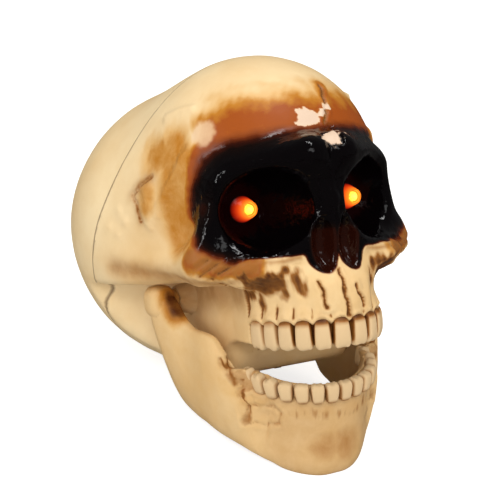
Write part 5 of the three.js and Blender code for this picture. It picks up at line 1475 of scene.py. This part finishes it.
class SKULL_OT_jaw(bpy.types.Operator):
    """Models the hinged lower jaw"""
    bl_idname = "skull.jaw"
    bl_label = "Jaw"

    def execute(self, context):
        row = lower_row(context.scene.skull_form)
        bm = jaw_net(*JAW_MESH)
        sculpt_jaw(bm, row)
        jaw = make_object("jaw_skin", bm)
        y, z = HINGE[1:]
        inner = JOINT_FACE + JAW_GAP
        knob_x = inner + KNOB_SET_OUT + KNOB_HALF[0]
        both_sides(lambda flip: ball(
            flip * (knob_x, y, z), KNOB_HALF, KNOB_SQUARENESS), jaw, "UNION")
        both_sides(lambda flip: rod(
            flip * (inner, y, z), flip * (knob_x, y, z), KNOB_NECK), jaw, "UNION")
        both_sides(lambda flip: rod(
            flip * (JOINT_FACE, y, z), flip * (inner + PIVOT_DEPTH, y, z), PIVOT_HOLE), jaw)
        cut(jaw, table())
        points = to_head(vertex_table(jaw.data, "co"))
        finish_piece(jaw, "jaw", "jaw", jaw_paint(points, cavity_of(jaw.data), row))
        return {"FINISHED"}


# What the names of the nodes of each finish start with. Every other node is bright steel
HARDWARE = {
    "painted_bone": ("battery_door", "jaw", "face_shell", "rear_shell"),
    "lit_lens": ("eye_led",),
    "white_plastic": ("pivot_washer",),
    "black_plastic": (
        "led_collar", "battery_tray", "driver_chip", "capacitor", "switch_slider",
        "battery_lead_minus"),
    "red_plastic": ("eye_lead", "battery_lead_plus", "switch_lead"),
    "green_board": ("circuit_board",),
    "cell_wrap": ("battery_a", "battery_b"),
}


class SKULL_OT_hardware(bpy.types.Operator):
    """Gives the lights, screws, battery parts and electronics their finishes"""
    bl_idname = "skull.hardware"
    bl_label = "Hardware"

    def execute(self, context):
        finish_of = {start: finish for finish, starts in HARDWARE.items() for start in starts}
        for name, node in frame["nodes"].items():
            found = next((v for k, v in finish_of.items() if name.startswith(k)), "bright_steel")
            node.data.materials.clear()
            node.data.materials.append(material(found))
        return {"FINISHED"}


# Lamps: name, place and size in metres, power in watts and whether they show in reflections
LAMPS = (
    ("key", (-0.75, -1.05, 1.25), (0.55, 0.55), 5.2, False),
    ("low", (-0.75, -1.2, 0.42), (0.4, 0.4), 4, False),
    ("brow", (-0.2, -0.8, 1.2), (0.8, 0.35), 1.6, True),
    ("glint", (-0.75, -1.05, 1.25), (0.1, 0.22), 1.5, True),
    ("fill", (1.1, -0.8, 0.7), (0.7, 0.7), 3.5, False),
    ("top", (0.1, 0.05, 1.5), (0.9, 0.15), 5, True),
    ("side", (-1.3, 0.2, 0.7), (0.12, 0.9), 2.8, True),
)
LAMP_TARGET = Vector((0, 0, 0.08))
FLOOR_HALF = 4.0
WORLD_COLOUR = (0.6, 0.56, 0.505, 1)
WORLD_IN_GLOSS, WORLD_TO_CAMERA = 0.08, 1.0
# The camera's lens and film in millimetres, and its azimuth, elevation, aim and distance, measured on
# the photo for a head that leans back by PHOTO_LEAN
LENS, FILM = 93.6, 36.0
AZIMUTH, ELEVATION, PHOTO_LEAN = (math.radians(degrees) for degrees in (-27.2, 16, 12))
AIM, DISTANCE = Vector((-2, 2, 14)), 650


class SKULL_OT_stage(bpy.types.Operator):
    """Sets the floor, the lamps, the world and the camera"""
    bl_idname = "skull.stage"
    bl_label = "Stage"

    def execute(self, context):
        scene = context.scene
        scene.view_settings.view_transform = "Standard"
        bm = bmesh.new()
        bmesh.ops.create_grid(bm, x_segments=2, y_segments=2, size=FLOOR_HALF)
        floor = make_object("floor", bm, in_row=True)
        floor.data.materials.append(material("paper"))
        self.light_world(scene)
        for name, at, size, power, glossy in LAMPS:
            self.add_lamp(scene, name, Vector(at), size, power, glossy)
        self.set_camera(scene)
        return {"FINISHED"}

    def light_world(self, scene):
        """White to the camera, dark in reflections, grey for the rest"""
        scene.world = bpy.data.worlds.new("studio")
        scene.world.use_nodes = True
        tree = scene.world.node_tree
        path = tree.nodes.new("ShaderNodeLightPath")
        mixes = [tree.nodes.new("ShaderNodeMix") for _ in range(2)]
        shades = (WORLD_IN_GLOSS, WORLD_TO_CAMERA)
        for mix, output, shade in zip(mixes, ("Is Glossy Ray", "Is Camera Ray"), shades):
            mix.data_type = "RGBA"
            mix.inputs[6].default_value = WORLD_COLOUR
            mix.inputs[7].default_value = (shade, shade, shade, 1)
            tree.links.new(path.outputs[output], mix.inputs[0])
        tree.links.new(mixes[0].outputs[2], mixes[1].inputs[6])
        tree.links.new(mixes[1].outputs[2], tree.nodes["Background"].inputs["Color"])

    def add_lamp(self, scene, name, at, size, power, glossy):
        lamp = bpy.data.lights.new(name, "AREA")
        lamp.shape = "RECTANGLE"
        lamp.size, lamp.size_y = size
        lamp.energy = power
        obj = bpy.data.objects.new(name, lamp)
        obj.location = at
        obj.visible_glossy = glossy
        obj.rotation_euler = (LAMP_TARGET - at).to_track_quat("-Z", "Y").to_euler()
        scene.collection.objects.link(obj)

    def set_camera(self, scene):
        """The photo's view, turned from the lean it was measured at to the frame's own"""
        camera = bpy.data.objects.new("camera", bpy.data.cameras.new("camera"))
        scene.collection.objects.link(camera)
        scene.camera = camera
        camera.data.lens = LENS
        camera.data.sensor_width = FILM
        back = Vector((
            math.sin(AZIMUTH) * math.cos(ELEVATION), -math.cos(AZIMUTH) * math.cos(ELEVATION),
            math.sin(ELEVATION)))
        right = Vector((math.cos(AZIMUTH), math.sin(AZIMUTH), 0))
        lean_more = Matrix.Rotation(PHOTO_LEAN - LEAN, 3, "X")
        eye = lean_more @ (AIM + back * DISTANCE) + Vector(SHIFT)
        basis = Matrix([lean_more @ right, lean_more @ back.cross(right), lean_more @ back]).transposed()
        camera.matrix_world = Matrix.Translation(eye * MM) @ basis.to_4x4()


OPERATORS = (
    SKULL_OT_shells, SKULL_OT_upper_teeth, SKULL_OT_jaw, SKULL_OT_lower_teeth, SKULL_OT_hardware,
    SKULL_OT_stage)


class SKULL_PT_panel(bpy.types.Panel):
    """Lists the settings and the steps that build the skull"""
    bl_idname = "SKULL_PT_panel"
    bl_label = "Skull decoration"
    bl_space_type = "VIEW_3D"
    bl_region_type = "UI"
    bl_category = "Skull"

    def draw(self, context):
        for group in (context.scene.skull_form, context.scene.skull_finish):
            for key in group.__annotations__:
                self.layout.prop(group, key)
        for operator in OPERATORS:
            self.layout.operator(operator.bl_idname)


CLASSES = (SkullFinish, SkullForm) + OPERATORS + (SKULL_PT_panel,)


def register():
    for cls in CLASSES:
        bpy.utils.register_class(cls)
    bpy.types.Scene.skull_finish = bpy.props.PointerProperty(type=SkullFinish)
    bpy.types.Scene.skull_form = bpy.props.PointerProperty(type=SkullForm)


def unregister():
    del bpy.types.Scene.skull_finish
    del bpy.types.Scene.skull_form
    for cls in reversed(CLASSES):
        bpy.utils.unregister_class(cls)


def main():
    register()
    bpy.ops.skull.shells()
    bpy.ops.skull.upper_teeth()
    bpy.ops.skull.jaw()
    bpy.ops.skull.lower_teeth()
    bpy.ops.skull.hardware()
    bpy.ops.skull.stage()


if __name__ == "__main__":
    main()
